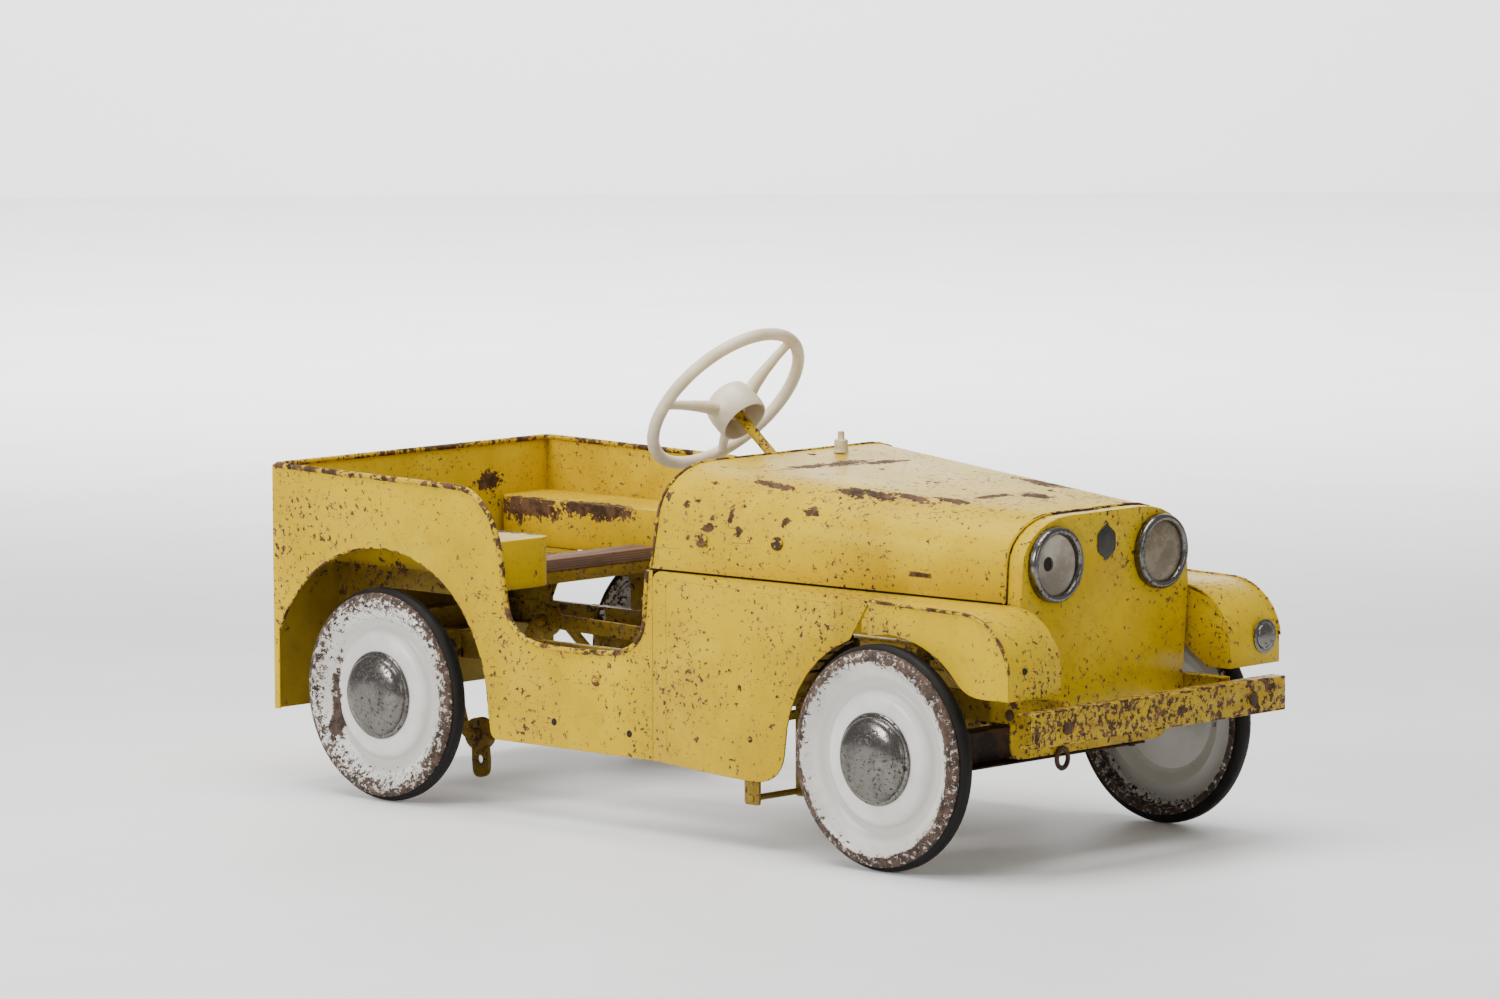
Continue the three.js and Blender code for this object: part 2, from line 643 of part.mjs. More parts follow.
const boltHole = (y, z, radius) => plateYZ(disc(y, z, radius), BUMPER_X - 30, BUMPER_X + 30, 12);
const BOLT_R = 3;

// The round hole in a rail's web beside the rear axle, and in the hanger against it.
function lightHole(y) {
  return plateXZ(disc(-18, (RAIL_TOP + RAIL_BOTTOM) / 2 + 2, 8.5), y - 6, y + 6, 12);
}

function bumper() {
  const shape = channel(BUMPER_X, BUMPER_X - BUMPER_DEPTH, BUMPER_BOTTOM, BUMPER_TOP);
  const beam = plateXZ(shape, -BUMPER_HALF, BUMPER_HALF);
  return cut(beam, ...[1, -1].map((side) => boltHole(side * BUMPER_BOLT.y, BUMPER_BOLT.z, BOLT_R + GAP)));
}

function bumperBolt() {
  const crown = GAP + BOLT_HEAD;
  const profile = [[0, -24], [BOLT_R, -24], [BOLT_R, GAP], [6, GAP], [5.2, GAP + 2], [3, crown], [0, crown]];
  return facing(profile, BUMPER_BOLT.x, BUMPER_BOLT.y, BUMPER_BOLT.z, 14);
}

const RAIL_REAR = TUB_REAR_X + SHEET + 8;
const RAIL_FRONT = BUMPER_X - BUMPER_DEPTH - GAP;
function chassisRail() {
  const shape = channel(RAIL_Y, RAIL_IN, RAIL_BOTTOM, RAIL_TOP);
  const rail = plateYZ(shape, RAIL_REAR, RAIL_FRONT);
  const tabY = RAIL_Y + 26;
  const tab = block(RAIL_FRONT - SHEET, RAIL_FRONT, RAIL_Y - SHEET, tabY, RAIL_BOTTOM - 3, RAIL_TOP - 6);
  const ear = plateXZ(pivotStrip(RAIL_TOP - 4), RAIL_Y - SHEET, RAIL_Y + 1);
  const earHole = plateXZ(disc(PEDAL_X, PEDAL_PIVOT_Z, PIVOT_R + GAP), RAIL_Y - 5, RAIL_Y + 5, 8);
  const webHole = boltHole(BUMPER_BOLT.y, BUMPER_BOLT.z, BOLT_R + GAP);
  return cut(join(rail, tab, ear), earHole, lightHole(RAIL_Y), webHole);
}

const MEMBER_HALF = RAIL_IN - GAP;
function rearCrossMember() {
  const shape = channel(RAIL_REAR + 4, RAIL_REAR + 26, RAIL_BOTTOM, RAIL_TOP);
  return plateXZ(shape, -MEMBER_HALF, MEMBER_HALF);
}

const PLATE_X = BONNET_FRONT - 2;
const PLATE_BOTTOM = AXLE_Z - 5;
function frontCrossPlate() {
  const half = MEMBER_HALF;
  const top = AXLE_Z + 50;
  const face = outline([[-half, top], [-half, PLATE_BOTTOM, 16], [half, PLATE_BOTTOM, 16], [half, top]]);
  const fold = block(PLATE_X - 14, PLATE_X, -half + 14, half - 14, PLATE_BOTTOM, PLATE_BOTTOM + SHEET);
  return join(plateYZ(face, PLATE_X - SHEET, PLATE_X), fold);
}

function towLoop() {
  const ring = new THREE.TorusGeometry(7.6, 2.2, 8, 18);
  ring.rotateY(Math.PI / 2).scale(1, 1, 1.15).translate(PLATE_X + 2.2 + GAP, -40, PLATE_BOTTOM - 4);
  return solid(ring);
}

// ---------------------------------------------------------------- front axle and steering
const BEAM_TOP = AXLE_Z + 12;
const BEAM_BOTTOM = AXLE_Z - 22;
const KINGPIN_R = 3.2;
const BARREL_R = 7;
const BEAM_REAR = FRONT - 10;
const BEAM_FRONT = FRONT + 10;

function frontAxleBeam() {
  const web = KINGPIN_Y - BARREL_R - 8;
  const wall = block(BEAM_REAR, BEAM_REAR + SHEET, -web, web, BEAM_BOTTOM, BEAM_TOP);
  const flange = (z) => {
    const end = KINGPIN_Y + 10;
    const ends = [[BEAM_REAR, -end], [BEAM_FRONT, -end], [BEAM_FRONT, end], [BEAM_REAR, end]];
    const plan = outline(ends.map((corner) => [...corner, 6]));
    return plateXY(plan, z, z + SHEET, 4);
  };
  const sides = [1, -1].flatMap((side) => {
    const y = side * KINGPIN_Y;
    const kingpin = bar(at(FRONT, y, BEAM_BOTTOM - 3), at(FRONT, y, BEAM_TOP + 3), KINGPIN_R);
    const [inner, outer] = [MEMBER_HALF - 14, RAIL_Y].map((value) => side * value).sort((a, b) => a - b);
    const riser = block(BEAM_REAR, BEAM_REAR + SHEET, inner, outer, BEAM_TOP - SHEET, RAIL_BOTTOM - GAP);
    const foot = block(BEAM_REAR, BEAM_FRONT, inner, outer, RAIL_BOTTOM - GAP - SHEET, RAIL_BOTTOM - GAP);
    return [kingpin, riser, foot];
  });
  return join(wall, flange(BEAM_BOTTOM), flange(BEAM_TOP - SHEET), ...sides);
}

const ARM_Z = BEAM_BOTTOM + SHEET + 6.4; // underside of the steering arms
const ARM_THICK = 4;
const TRACK_X = FRONT - TRACK_ARM;
const TRACK_TOP = ARM_Z - 2;
const TRACK_PIN_R = 3;
const TRACK_PLAY = 3.5; // open pivots of the track rod
const ROD_THICK = 4;

function stubAxle() {
  const barrelTop = BEAM_TOP - SHEET - GAP;
  const barrelBottom = BEAM_BOTTOM + SHEET + GAP;
  const barrel = bar(at(FRONT, KINGPIN_Y, barrelBottom), at(FRONT, KINGPIN_Y, barrelTop), BARREL_R);
  const stub = bar(at(FRONT, KINGPIN_Y, AXLE_Z), at(FRONT, AXLE_END, AXLE_Z), AXLE_R);
  const collar = bar(at(FRONT, KINGPIN_Y, AXLE_Z), at(FRONT, HUB_IN - 1, AXLE_Z), AXLE_R + 3);
  const armOutline = outline([
    [FRONT + 4, KINGPIN_Y - 6], [FRONT + 4, KINGPIN_Y + 6],
    [TRACK_X - 7, KINGPIN_Y + 6, 5], [TRACK_X - 7, KINGPIN_Y - 6, 5],
  ]);
  const arm = plateXY(armOutline, ARM_Z, ARM_Z + ARM_THICK, 4);
  const pinFoot = TRACK_TOP - ROD_THICK - 3;
  const pin = bar(at(TRACK_X, KINGPIN_Y, pinFoot), at(TRACK_X, KINGPIN_Y, ARM_Z + 1), TRACK_PIN_R);
  const bore = bar(at(FRONT, KINGPIN_Y, BEAM_BOTTOM), at(FRONT, KINGPIN_Y, BEAM_TOP), KINGPIN_R + RUNNING);
  return cut(join(barrel, stub, collar, arm, pin), bore);
}

const COLUMN_ARM = 22.4; // throw of the column's crank
const columnDown = new THREE.Vector3(columnAlong.z, 0, -columnAlong.x);
const FINGER = COLUMN_FOOT.clone().addScaledVector(columnDown, COLUMN_ARM);

function trackRod() {
  const [z0, z1] = [TRACK_TOP - ROD_THICK, TRACK_TOP];
  const rod = block(TRACK_X - 7, TRACK_X + 7, -KINGPIN_Y, KINGPIN_Y, z0, z1);
  const holeR = TRACK_PIN_R + TRACK_PLAY;
  const eyes = [1, -1].map((side) => plateXY(disc(TRACK_X, side * KINGPIN_Y, holeR + 5), z0, z1));
  const holes = [1, -1].map((side) => plateXY(disc(TRACK_X, side * KINGPIN_Y, holeR), z0 - 1, z1 + 1));
  const slotHalf = COLUMN_R / -columnDown.z + TRACK_PLAY;
  const middle = FINGER.x + (columnDown.x / -columnDown.z) * (FINGER.z - (z0 + z1) / 2);
  const pad = block(middle - slotHalf - 6, middle + slotHalf + 6, -14, 14, z0, z1);
  const slotY = COLUMN_R + 2;
  const slot = block(middle - slotHalf, middle + slotHalf, -slotY, slotY, z0 - 1, z1 + 1);
  return cut(join(rod, pad, ...eyes), slot, ...holes);
}

const HUB_DEPTH = 31;
function steeringColumn() {
  const tip = FINGER.clone().addScaledVector(columnDown, 9);
  return bentBar([onColumn(0), COLUMN_FOOT, tip], COLUMN_R, 9, 14);
}

function columnBracket() {
  const middle = onColumn(COLUMN_FOOT.distanceTo(COLUMN_TOP) - 24);
  const from = middle.clone().addScaledVector(columnAlong, -7);
  const to = middle.clone().addScaledVector(columnAlong, 7);
  const sleeve = bar(from, to, COLUMN_R + 4.5);
  const strap = outline([
    [middle.x - 2, middle.z + 3], [middle.x + 3, middle.z + 7],
    [BEAM_REAR + 2, BEAM_TOP + GAP + 2.5], [BEAM_FRONT - 2, BEAM_TOP + GAP + 2.5],
    [BEAM_FRONT - 2, BEAM_TOP + GAP], [BEAM_REAR, BEAM_TOP + GAP],
  ]);
  const bore = bar(onColumn(0), COLUMN_FOOT.clone().addScaledVector(columnAlong, 20), COLUMN_R + RUNNING);
  return cut(join(sleeve, plateXZ(strap, -7, 7)), bore);
}

// The steering wheel is drawn about the Y axis and then tilted on to the column.
function steeringWheel() {
  const rim = new THREE.TorusGeometry(STEERING_WHEEL_R, STEERING_RIM_R, 10, 44).rotateX(Math.PI / 2);
  const bore = COLUMN_R + 0.3;
  const cup = turned(
    closed([
      [bore + 3, 21], [bore, 21], [bore, -0.6], [5, -0.6], [5, -4], [17, -4], [21, -1.5], [24.5, 12],
      [24, 26], [23.5, HUB_DEPTH], [21, HUB_DEPTH], [21.4, 24], [21, 12], [18, 1], [bore + 3, 1],
    ]),
    24,
  );
  const spokes = [180, 60, -60].map((degrees) => {
    const angle = THREE.MathUtils.degToRad(degrees);
    const out = (r, s) => at(r * Math.cos(angle), s, r * Math.sin(angle));
    return bar(out(21, 12), out(STEERING_WHEEL_R - 2, 0.5), 6, 3.8, 10);
  });
  const plug = turned([[0, -4], [7, -4], [7, -0.6], [0, -0.6]], 16);
  return join(solid(rim), cup, plug, ...spokes);
}

// Turns a solid from the Y axis on to the column: x to the car's left, y down the column.
function tiltedGeometry(part) {
  const turn = new THREE.Matrix4().makeBasis(at(0, 1, 0), columnAlong, columnDown);
  return geometryOf(part).applyMatrix4(turn).translate(COLUMN_TOP.x, COLUMN_TOP.y, COLUMN_TOP.z);
}

// ---------------------------------------------------------------- rear axle and drive
const CRANK_PIN = {
  right: at(0, CRANK_PIN_Y.right, AXLE_Z - CRANK_THROW),
  left: at(0, CRANK_PIN_Y.left, AXLE_Z + CRANK_THROW),
};

function crankAxle() {
  const low = CRANK_PIN.right;
  const high = CRANK_PIN.left;
  return bentBar(
    [
      at(0, -AXLE_END, AXLE_Z),
      at(0, low.y - 32, AXLE_Z),
      at(0, low.y - 18, low.z),
      at(0, low.y + 16, low.z),
      at(0, high.y - 16, high.z),
      at(0, high.y + 20, high.z),
      at(0, high.y + 72, AXLE_Z),
      at(0, AXLE_END, AXLE_Z),
    ],
    AXLE_R,
    9,
    12,
  );
}

const HANGER_IN = RAIL_Y + GAP;
function axleHanger() {
  const shape = outline([
    [-32, RAIL_TOP], [-32, RAIL_BOTTOM, 6], [-15, AXLE_Z - 15, 12],
    [15, AXLE_Z - 15, 12], [24, RAIL_BOTTOM, 6], [24, RAIL_TOP],
  ]);
  const plate = plateXZ(shape, HANGER_IN, HANGER_IN + 3);
  const boss = bar(at(0, HANGER_IN + 1, AXLE_Z), at(0, HANGER_IN + 12, AXLE_Z), AXLE_R + 4);
  const bore = bar(at(0, HANGER_IN - 5, AXLE_Z), at(0, HANGER_IN + 20, AXLE_Z), AXLE_R + RUNNING);
  return cut(join(plate, boss), bore, lightHole(HANGER_IN));
}

const PEDAL_PIVOT_Z = AXLE_Z - 53;
const PIVOT_R = 3;
const HANGER_OUT = SIDE_IN - GAP;

// A strip that hangs from a frame member down to a pedal pivot, from its top z.
function pivotStrip(top) {
  const foot = PEDAL_PIVOT_Z - 6;
  return outline([[PEDAL_X - 9, foot, 3], [PEDAL_X + 9, foot, 3], [PEDAL_X + 9, top], [PEDAL_X - 9, top]]);
}

// The outer hanger, against the body side, with the pin its pedal swings on.
function pedalHanger() {
  const strip = plateXZ(pivotStrip(AXLE_Z + 12), HANGER_OUT - 2.4, HANGER_OUT);
  const [from, to] = [PEDAL_Y - 4, HANGER_OUT + 1.2];
  const pin = bar(at(PEDAL_X, from, PEDAL_PIVOT_Z), at(PEDAL_X, to, PEDAL_PIVOT_Z), PIVOT_R);
  return join(strip, pin);
}

// Where the pedal's pin stands when its rod reaches the crank pin: the two circles' upper crossing.
function pedalPin(crank) {
  const pivot = at(PEDAL_X, 0, PEDAL_PIVOT_Z);
  const reach = Math.hypot(pivot.x - crank.x, pivot.z - crank.z);
  const along = (reach * reach + PEDAL_ARM * PEDAL_ARM - ROD_LENGTH * ROD_LENGTH) / (2 * reach);
  const off = Math.sqrt(PEDAL_ARM * PEDAL_ARM - along * along);
  const ux = (crank.x - pivot.x) / reach;
  const uz = (crank.z - pivot.z) / reach;
  return at(pivot.x + ux * along + uz * off, 0, pivot.z + uz * along - ux * off);
}

const ARM_HALF = 2;
const ROD_HALF = 2.5;
const PIN_END_Y = PEDAL_Y - ARM_HALF - 6; // open pivot: the rod's eye stands inboard of the pedal's pin
const ROD_FRONT_Y = PIN_END_Y - 7 - ROD_HALF;

// A connecting rod: a ring on the crank pin with a tail of adjusting holes, and a strap to the pedal.
function connectingRod(side) {
  const crank = CRANK_PIN[side];
  const sign = side === "left" ? 1 : -1;
  const pin = pedalPin(crank).setY(sign * ROD_FRONT_Y);
  const length = pin.distanceTo(crank);
  const tail = outline([[-9, 4], [-13, -24], [-15, -40, 9], [3, -42, 9], [7, -24], [9, 4]]);
  const tip = length + 8;
  const strap = outline([[0, 7], [0, -7, 4], [tip - 18, -7], [tip, -7, 6], [tip, 7, 6], [tip - 18, 7]]);
  const bodyOf = (shape) => solid(extruded(shape, 2 * ROD_HALF, 6).translate(0, 0, -ROD_HALF));
  const hole = (x, y, radius) => solid(extruded(disc(x, y, radius), 20, 12).translate(0, 0, -10));
  const ring = solid(extruded(disc(0, 0, 15.5), 2 * ROD_HALF + 5, 12).translate(0, 0, -ROD_HALF - 2.5));
  const whole = join(ring, bodyOf(tail), bodyOf(strap));
  const bored = cut(whole, hole(0, 0, AXLE_R + 1.2), hole(-4, -24, 4.5), hole(length, 0, 4.2));
  const forward = pin.clone().sub(crank).normalize();
  const across = new THREE.Vector3().crossVectors(forward, at(0, 0, 1)).normalize();
  const up = new THREE.Vector3().crossVectors(across, forward);
  const turn = new THREE.Matrix4().makeBasis(forward, up, across);
  return geometryOf(bored).applyMatrix4(turn).translate(crank.x, crank.y, crank.z);
}

const PEDAL_TOP = PEDAL_ARM + 34;
const TREAD_OUT = RAIL_IN - 7;

// The pedal is drawn upright over the pivot, then leaned to meet its rod.
function leaned(part, side) {
  const pin = pedalPin(CRANK_PIN[side]);
  const lean = Math.atan2(pin.x - PEDAL_X, pin.z - PEDAL_PIVOT_Z);
  const geometry = geometryOf(part).rotateY(lean).translate(PEDAL_X, 0, PEDAL_PIVOT_Z);
  return side === "left" ? geometry : mirrored(geometry);
}

function pedalArm() {
  const top = PEDAL_TOP + 7;
  const shape = outline([[-7, -4], [7, -4], [7, top - 11], [7, top, 6], [-7, top, 6], [-7, top - 11]]);
  const arm = plateXZ(shape, PEDAL_Y - ARM_HALF, PEDAL_Y + ARM_HALF);
  const barrel = bar(at(0, PEDAL_Y - ARM_HALF, 0), at(0, PEDAL_Y + 20, 0), PIVOT_R + 4);
  const pin = bar(at(0, PIN_END_Y, PEDAL_ARM), at(0, PEDAL_Y, PEDAL_ARM), 3);
  const spindle = bar(at(0, PEDAL_Y, PEDAL_TOP), at(0, TREAD_OUT + 4, PEDAL_TOP), 4);
  const bore = bar(at(0, 0, 0), at(0, PEDAL_Y + 40, 0), PIVOT_R + RUNNING);
  return cut(join(arm, barrel, pin, spindle), bore);
}

function pedalTread() {
  const shape = outline([[-9, -22, 5], [9, -22, 5], [9, 22, 5], [-9, 22, 5]]);
  const whole = plateXZ(shape, PEDAL_Y + 8, TREAD_OUT).translate([0, 0, PEDAL_TOP]);
  const bore = bar(at(0, PEDAL_Y, PEDAL_TOP), at(0, TREAD_OUT + 10, PEDAL_TOP), 4 + GAP);
  return cut(whole, bore);
}

// ---------------------------------------------------------------- wheels
const RIM_R = TYRE_R - 4.5;
const SEAT_R = TYRE_R - 12;
const FACE_R = RIM_R - 11.5; // crest of the rim's rolled shoulder
const BORE_R = AXLE_R + RUNNING;

function wheelDisc() {
  const o = TYRE_OUT;
  const crest = DISC_FACE + 4;
  return turned(
    closed([
      [BORE_R, DISC_FACE], [HUB_CAP_R + 14, DISC_FACE - 0.5], [HUB_CAP_R + 20, DISC_FACE - 4.5],
      [HUB_CAP_R + 33, DISC_FACE - 1], [FACE_R, crest], [FACE_R + 5, crest - 1], [RIM_R - 1.5, crest - 4],
      [RIM_R, o + GAP], [SEAT_R - GAP, o + GAP], [SEAT_R - GAP, TYRE_IN - GAP], [SEAT_R + 4, TYRE_IN - GAP],
      [SEAT_R + 4, TYRE_IN - 2], [SEAT_R - 2, TYRE_IN - 2], [SEAT_R - 2, o - 2], [FACE_R - 3, crest - 4],
      [HUB_CAP_R + 33, DISC_FACE - 4], [HUB_CAP_R + 20, DISC_FACE - 7], [HUB_CAP_R + 13, DISC_FACE - 2.5],
      [AXLE_R + 5, DISC_FACE - 2], [AXLE_R + 5, HUB_IN], [BORE_R, HUB_IN],
    ]),
    32,
  );
}

function tyre() {
  return turned(
    closed([
      [SEAT_R, TYRE_IN], [TYRE_R - 3, TYRE_IN], [TYRE_R, TYRE_IN + 4],
      [TYRE_R, TYRE_OUT - 4], [TYRE_R - 3, TYRE_OUT], [SEAT_R, TYRE_OUT],
    ]),
    48,
  );
}

function hubCap() {
  const base = DISC_FACE + GAP;
  const r = HUB_CAP_R;
  const dome = [[0, 0], [r, 0], [r, 3], [r - 2.5, 6], [r - 9, 9.2], [r - 20, 12], [r - 31, 13.4], [0, 14]];
  return turned(dome.map(([radius, s]) => [radius, base + s]), 24);
}

// ---------------------------------------------------------------- assembly
addPair("tub_side", tubSide(), yellowEnamel);
add("tub_back", tubBack(), yellowEnamel);
addPair("wheel_box", wheelBox(), yellowEnamel);
add("seat_pan", seatPan(), innerEnamel);
add("seat_board", seatBoard(), plywood);
add("dashboard", dashboard(), innerEnamel);
add("bonnet", bonnet(), yellowEnamel);
add("nose_panel", nosePanel(), yellowEnamel);
addPair("front_panel", frontPanel(), yellowEnamel);
addPair("wing", wing(), yellowEnamel);
for (const [name, side] of [["left", 1], ["right", -1]]) {
  add("headlamp_bezel_" + name, facing(lampBezel(), NOSE_X, side * LAMP_Y, LAMP_Z, 24), dullChrome);
}
add("headlamp_lens_left", facing(lensProfile, NOSE_X + GAP, LAMP_Y, LAMP_Z, 28), cloudyGlass);
add("headlamp_dish_right", facing(dishProfile, NOSE_X + GAP, -LAMP_Y, LAMP_Z, 28), dullChrome);
add("side_lamp_left", facing(sideLampProfile, SIDE_LAMP.x, SIDE_LAMP.y, SIDE_LAMP.z, 24), dullChrome);
add("bonnet_post", post(), creamPlastic);
add("nose_badge", badge(), blackEnamel);
add("bumper", bumper(), yellowEnamel);
addPair("bumper_bolt", bumperBolt(), rustySteel);

addPair("chassis_rail", chassisRail(), innerEnamel);
add("rear_cross_member", rearCrossMember(), innerEnamel);
add("front_cross_plate", frontCrossPlate(), yellowEnamel);
add("tow_loop", towLoop(), rustySteel);
add("front_axle_beam", frontAxleBeam(), rustySteel);
addPair("axle_hanger", axleHanger(), innerEnamel);
addPair("pedal_hanger", pedalHanger(), innerEnamel);
add("column_bracket", columnBracket(), rustySteel);

add("steering_wheel", tiltedGeometry(steeringWheel()), creamPlastic);
add("steering_column", steeringColumn(), rustySteel);
add("track_rod", trackRod(), rustySteel);
addPair("stub_axle", stubAxle(), rustySteel);
add("crank_axle", crankAxle(), rustySteel);
for (const side of ["left", "right"]) {
  add("connecting_rod_" + side, connectingRod(side), rustySteel);
  add("pedal_arm_" + side, leaned(pedalArm(), side), rustySteel);
  add("pedal_tread_" + side, leaned(pedalTread(), side), tyreRubber);
}

for (const [place, x] of [["front", FRONT], ["rear", 0]]) {
  addPair("wheel_disc_" + place, wheelDisc().translate([x, 0, AXLE_Z]), whiteEnamel);
  addPair("tyre_" + place, tyre().translate([x, 0, AXLE_Z]), tyreRubber);
  addPair("hub_cap_" + place, hubCap().translate([x, 0, AXLE_Z]), dullChrome);
}

export default car;
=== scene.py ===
# %% [markdown]
# A pedal car of pressed steel, about a metre long, which a small child sits in and drives with the feet.
# This script gives them soft edges and worn paint, and adds what a press, a roller or years of play
# leave on such a car.

# %% Load the assembled car
import json
import math
import bpy
from mathutils import Vector, Matrix


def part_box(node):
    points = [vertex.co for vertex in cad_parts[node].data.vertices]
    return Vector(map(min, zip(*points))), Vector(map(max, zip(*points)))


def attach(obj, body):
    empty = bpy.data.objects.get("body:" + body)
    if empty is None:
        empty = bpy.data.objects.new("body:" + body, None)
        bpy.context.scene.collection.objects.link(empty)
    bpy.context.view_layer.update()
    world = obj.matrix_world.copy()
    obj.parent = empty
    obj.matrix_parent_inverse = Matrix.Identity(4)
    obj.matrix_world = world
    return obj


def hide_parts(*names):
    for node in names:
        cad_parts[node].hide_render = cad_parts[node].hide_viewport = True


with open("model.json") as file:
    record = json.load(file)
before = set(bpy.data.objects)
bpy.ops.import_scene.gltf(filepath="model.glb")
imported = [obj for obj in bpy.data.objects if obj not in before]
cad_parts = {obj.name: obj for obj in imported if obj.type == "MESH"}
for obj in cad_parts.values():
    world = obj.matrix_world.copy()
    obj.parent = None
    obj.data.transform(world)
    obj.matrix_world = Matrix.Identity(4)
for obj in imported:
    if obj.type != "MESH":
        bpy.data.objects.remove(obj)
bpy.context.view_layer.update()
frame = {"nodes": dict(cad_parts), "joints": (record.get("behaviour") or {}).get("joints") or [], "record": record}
nodes = frame["nodes"]
body_of_node = {n: b for b, names in frame["record"]["behaviour"]["bodies"].items() for n in names}

# %% [markdown]
# Everything is placed from a few sizes read off the frame: the axles, the body sides and the sheet.
# A size that is written once and worked out everywhere else keeps the pieces together if it changes.

# %% Sizes read from the frame
MM = 0.001


def middle(node):
    low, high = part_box(node)
    return (low + high) / 2


REAR_AXLE = middle("tyre_rear_left")
FRONT_AXLE = middle("tyre_front_left")
tyre_low, tyre_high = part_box("tyre_rear_left")
TYRE_R = (tyre_high.z - tyre_low.z) / 2
TYRE_IN, TYRE_OUT = tyre_low.y, tyre_high.y
side_low, side_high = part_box("tub_side_left")
SIDE_Y, SHEET = side_high.y, side_high.y - side_low.y
SILL_Z, RIM_Z, SEAM_X = side_low.z, side_high.z, side_high.x
BACK_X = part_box("tub_back")[0].x
box_low, box_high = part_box("wheel_box_left")
BENCH_Y, BENCH_TOP = box_low.y, box_high.z
NOSE_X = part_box("nose_panel")[1].x
bonnet_low, bonnet_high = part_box("bonnet")
COWL_X, COWL_Z, BONNET_FRONT = bonnet_low.x, bonnet_high.z, bonnet_high.x
LEDGE_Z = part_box("front_panel_left")[1].z
print("axles at", round(REAR_AXLE.x, 4), round(FRONT_AXLE.x, 4), "rim at", round(RIM_Z, 4))

# %% [markdown]
# A few helpers keep the modelling steps short. Blender's operators act on whatever is selected, so each
# helper clears the selection first and says which object is active. A finished piece has its place in its
# mesh, with the object itself at the origin, which is what joint motion and the material patterns expect.

# %% Helpers for selecting and finishing
def clear_selection():
    bpy.ops.object.select_all(action="DESELECT")


def edit_all():
    """Goes into edit mode with the whole mesh selected."""
    bpy.ops.object.mode_set(mode="EDIT")
    bpy.ops.mesh.select_all(action="SELECT")


def leave_edit():
    bpy.ops.object.mode_set(mode="OBJECT")


def select_only(piece):
    clear_selection()
    piece.select_set(True)
    bpy.context.view_layer.objects.active = piece


def named(name):
    piece = bpy.context.active_object
    piece.name = name
    piece.data.name = name
    return piece


def settle(piece, angle=35):
    """Puts the place into the mesh and smooths every edge that is less sharp than the angle."""
    select_only(piece)
    bpy.ops.object.transform_apply(location=True, rotation=True, scale=True)
    bpy.ops.object.shade_smooth_by_angle(angle=math.radians(angle))
    return piece


def apply_modifier(piece, kind, **settings):
    select_only(piece)
    bpy.ops.object.modifier_add(type=kind)
    modifier = piece.modifiers[-1]
    for key, value in settings.items():
        setattr(modifier, key, value)
    bpy.ops.object.modifier_apply(modifier=modifier.name)


def face_outwards(piece):
    select_only(piece)
    edit_all()
    bpy.ops.mesh.remove_doubles(threshold=1e-6)
    bpy.ops.mesh.normals_make_consistent(inside=False)
    leave_edit()


made = []


def keep(piece, body, material):
    """Gives a finished piece its material and the body that it moves with."""
    piece.data.materials.clear()
    piece.data.materials.append(material)
    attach(piece, body)
    made.append(piece.name)
    return piece


def fixed(piece, material):
    return keep(piece, "chassis", material)


# %% Helpers that draw a line of points and work from it
def chain(name, points):
    """A chain of edges through points, drawn by extruding one vertex again and again."""
    clear_selection()
    bpy.ops.mesh.primitive_plane_add(size=0.001, location=points[0])
    piece = named(name)
    edit_all()
    bpy.ops.mesh.merge(type="CENTER")
    for here, there in zip(points, points[1:]):
        step = Vector(there) - Vector(here)
        bpy.ops.mesh.extrude_region_move(TRANSFORM_OT_translate={"value": step})
    leave_edit()
    return piece


def close_chain(piece):
    """Joins the last vertex of a chain to the first."""
    bpy.ops.object.mode_set(mode="EDIT")
    bpy.ops.mesh.select_all(action="DESELECT")
    leave_edit()
    for vertex in (piece.data.vertices[0], piece.data.vertices[len(piece.data.vertices) - 1]):
        vertex.select = True
    bpy.ops.object.mode_set(mode="EDIT")
    bpy.ops.mesh.edge_face_add()
    leave_edit()


def turned(name, outline, centre, axis=(0, 1, 0), radial=(1, 0, 0), steps=64, closed=True):
    """A turned piece: the outline's points are (radius, distance along the axis), in metres."""
    centre, axis, radial = Vector(centre), Vector(axis), Vector(radial)
    piece = chain(name, [centre + radial * r + axis * s for r, s in outline])
    if closed:
        close_chain(piece)
    edit_all()
    bpy.ops.mesh.spin(steps=steps, angle=2 * math.pi, center=centre, axis=axis)
    leave_edit()
    face_outwards(piece)
    return settle(piece)


def wire(name, points, radius, sides=2):
    """A round bar along a chain of points, capped at both ends."""
    piece = chain(name, points)
    select_only(piece)
    bpy.ops.object.convert(target="CURVE")
    curve = bpy.context.active_object.data
    curve.bevel_depth = radius
    curve.bevel_resolution = sides
    curve.use_fill_caps = True
    bpy.ops.object.convert(target="MESH")
    piece = named(name)
    face_outwards(piece)
    return settle(piece, 50)


def slab(name, low, high):
    """A block between two corners with its edges rounded."""
    low, high = Vector(low), Vector(high)
    clear_selection()
    bpy.ops.mesh.primitive_cube_add(size=1, location=(low + high) / 2, scale=high - low)
    piece = named(name)
    settle(piece)
    apply_modifier(piece, "BEVEL", width=0.6 * MM, segments=2, limit_method="ANGLE")
    return settle(piece)


def other_side(piece, name):
    """The same piece on the right of the car, with its faces turned outwards again."""
    select_only(piece)
    bpy.ops.object.duplicate()
    twin = named(name)
    for key in [k for k in twin.keys() if k.startswith("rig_")]:
        del twin[key]
    twin.parent = None
    edit_all()
    bpy.ops.transform.mirror(constraint_axis=(False, True, False), center_override=(0, 0, 0))
    leave_edit()
    face_outwards(twin)
    return twin


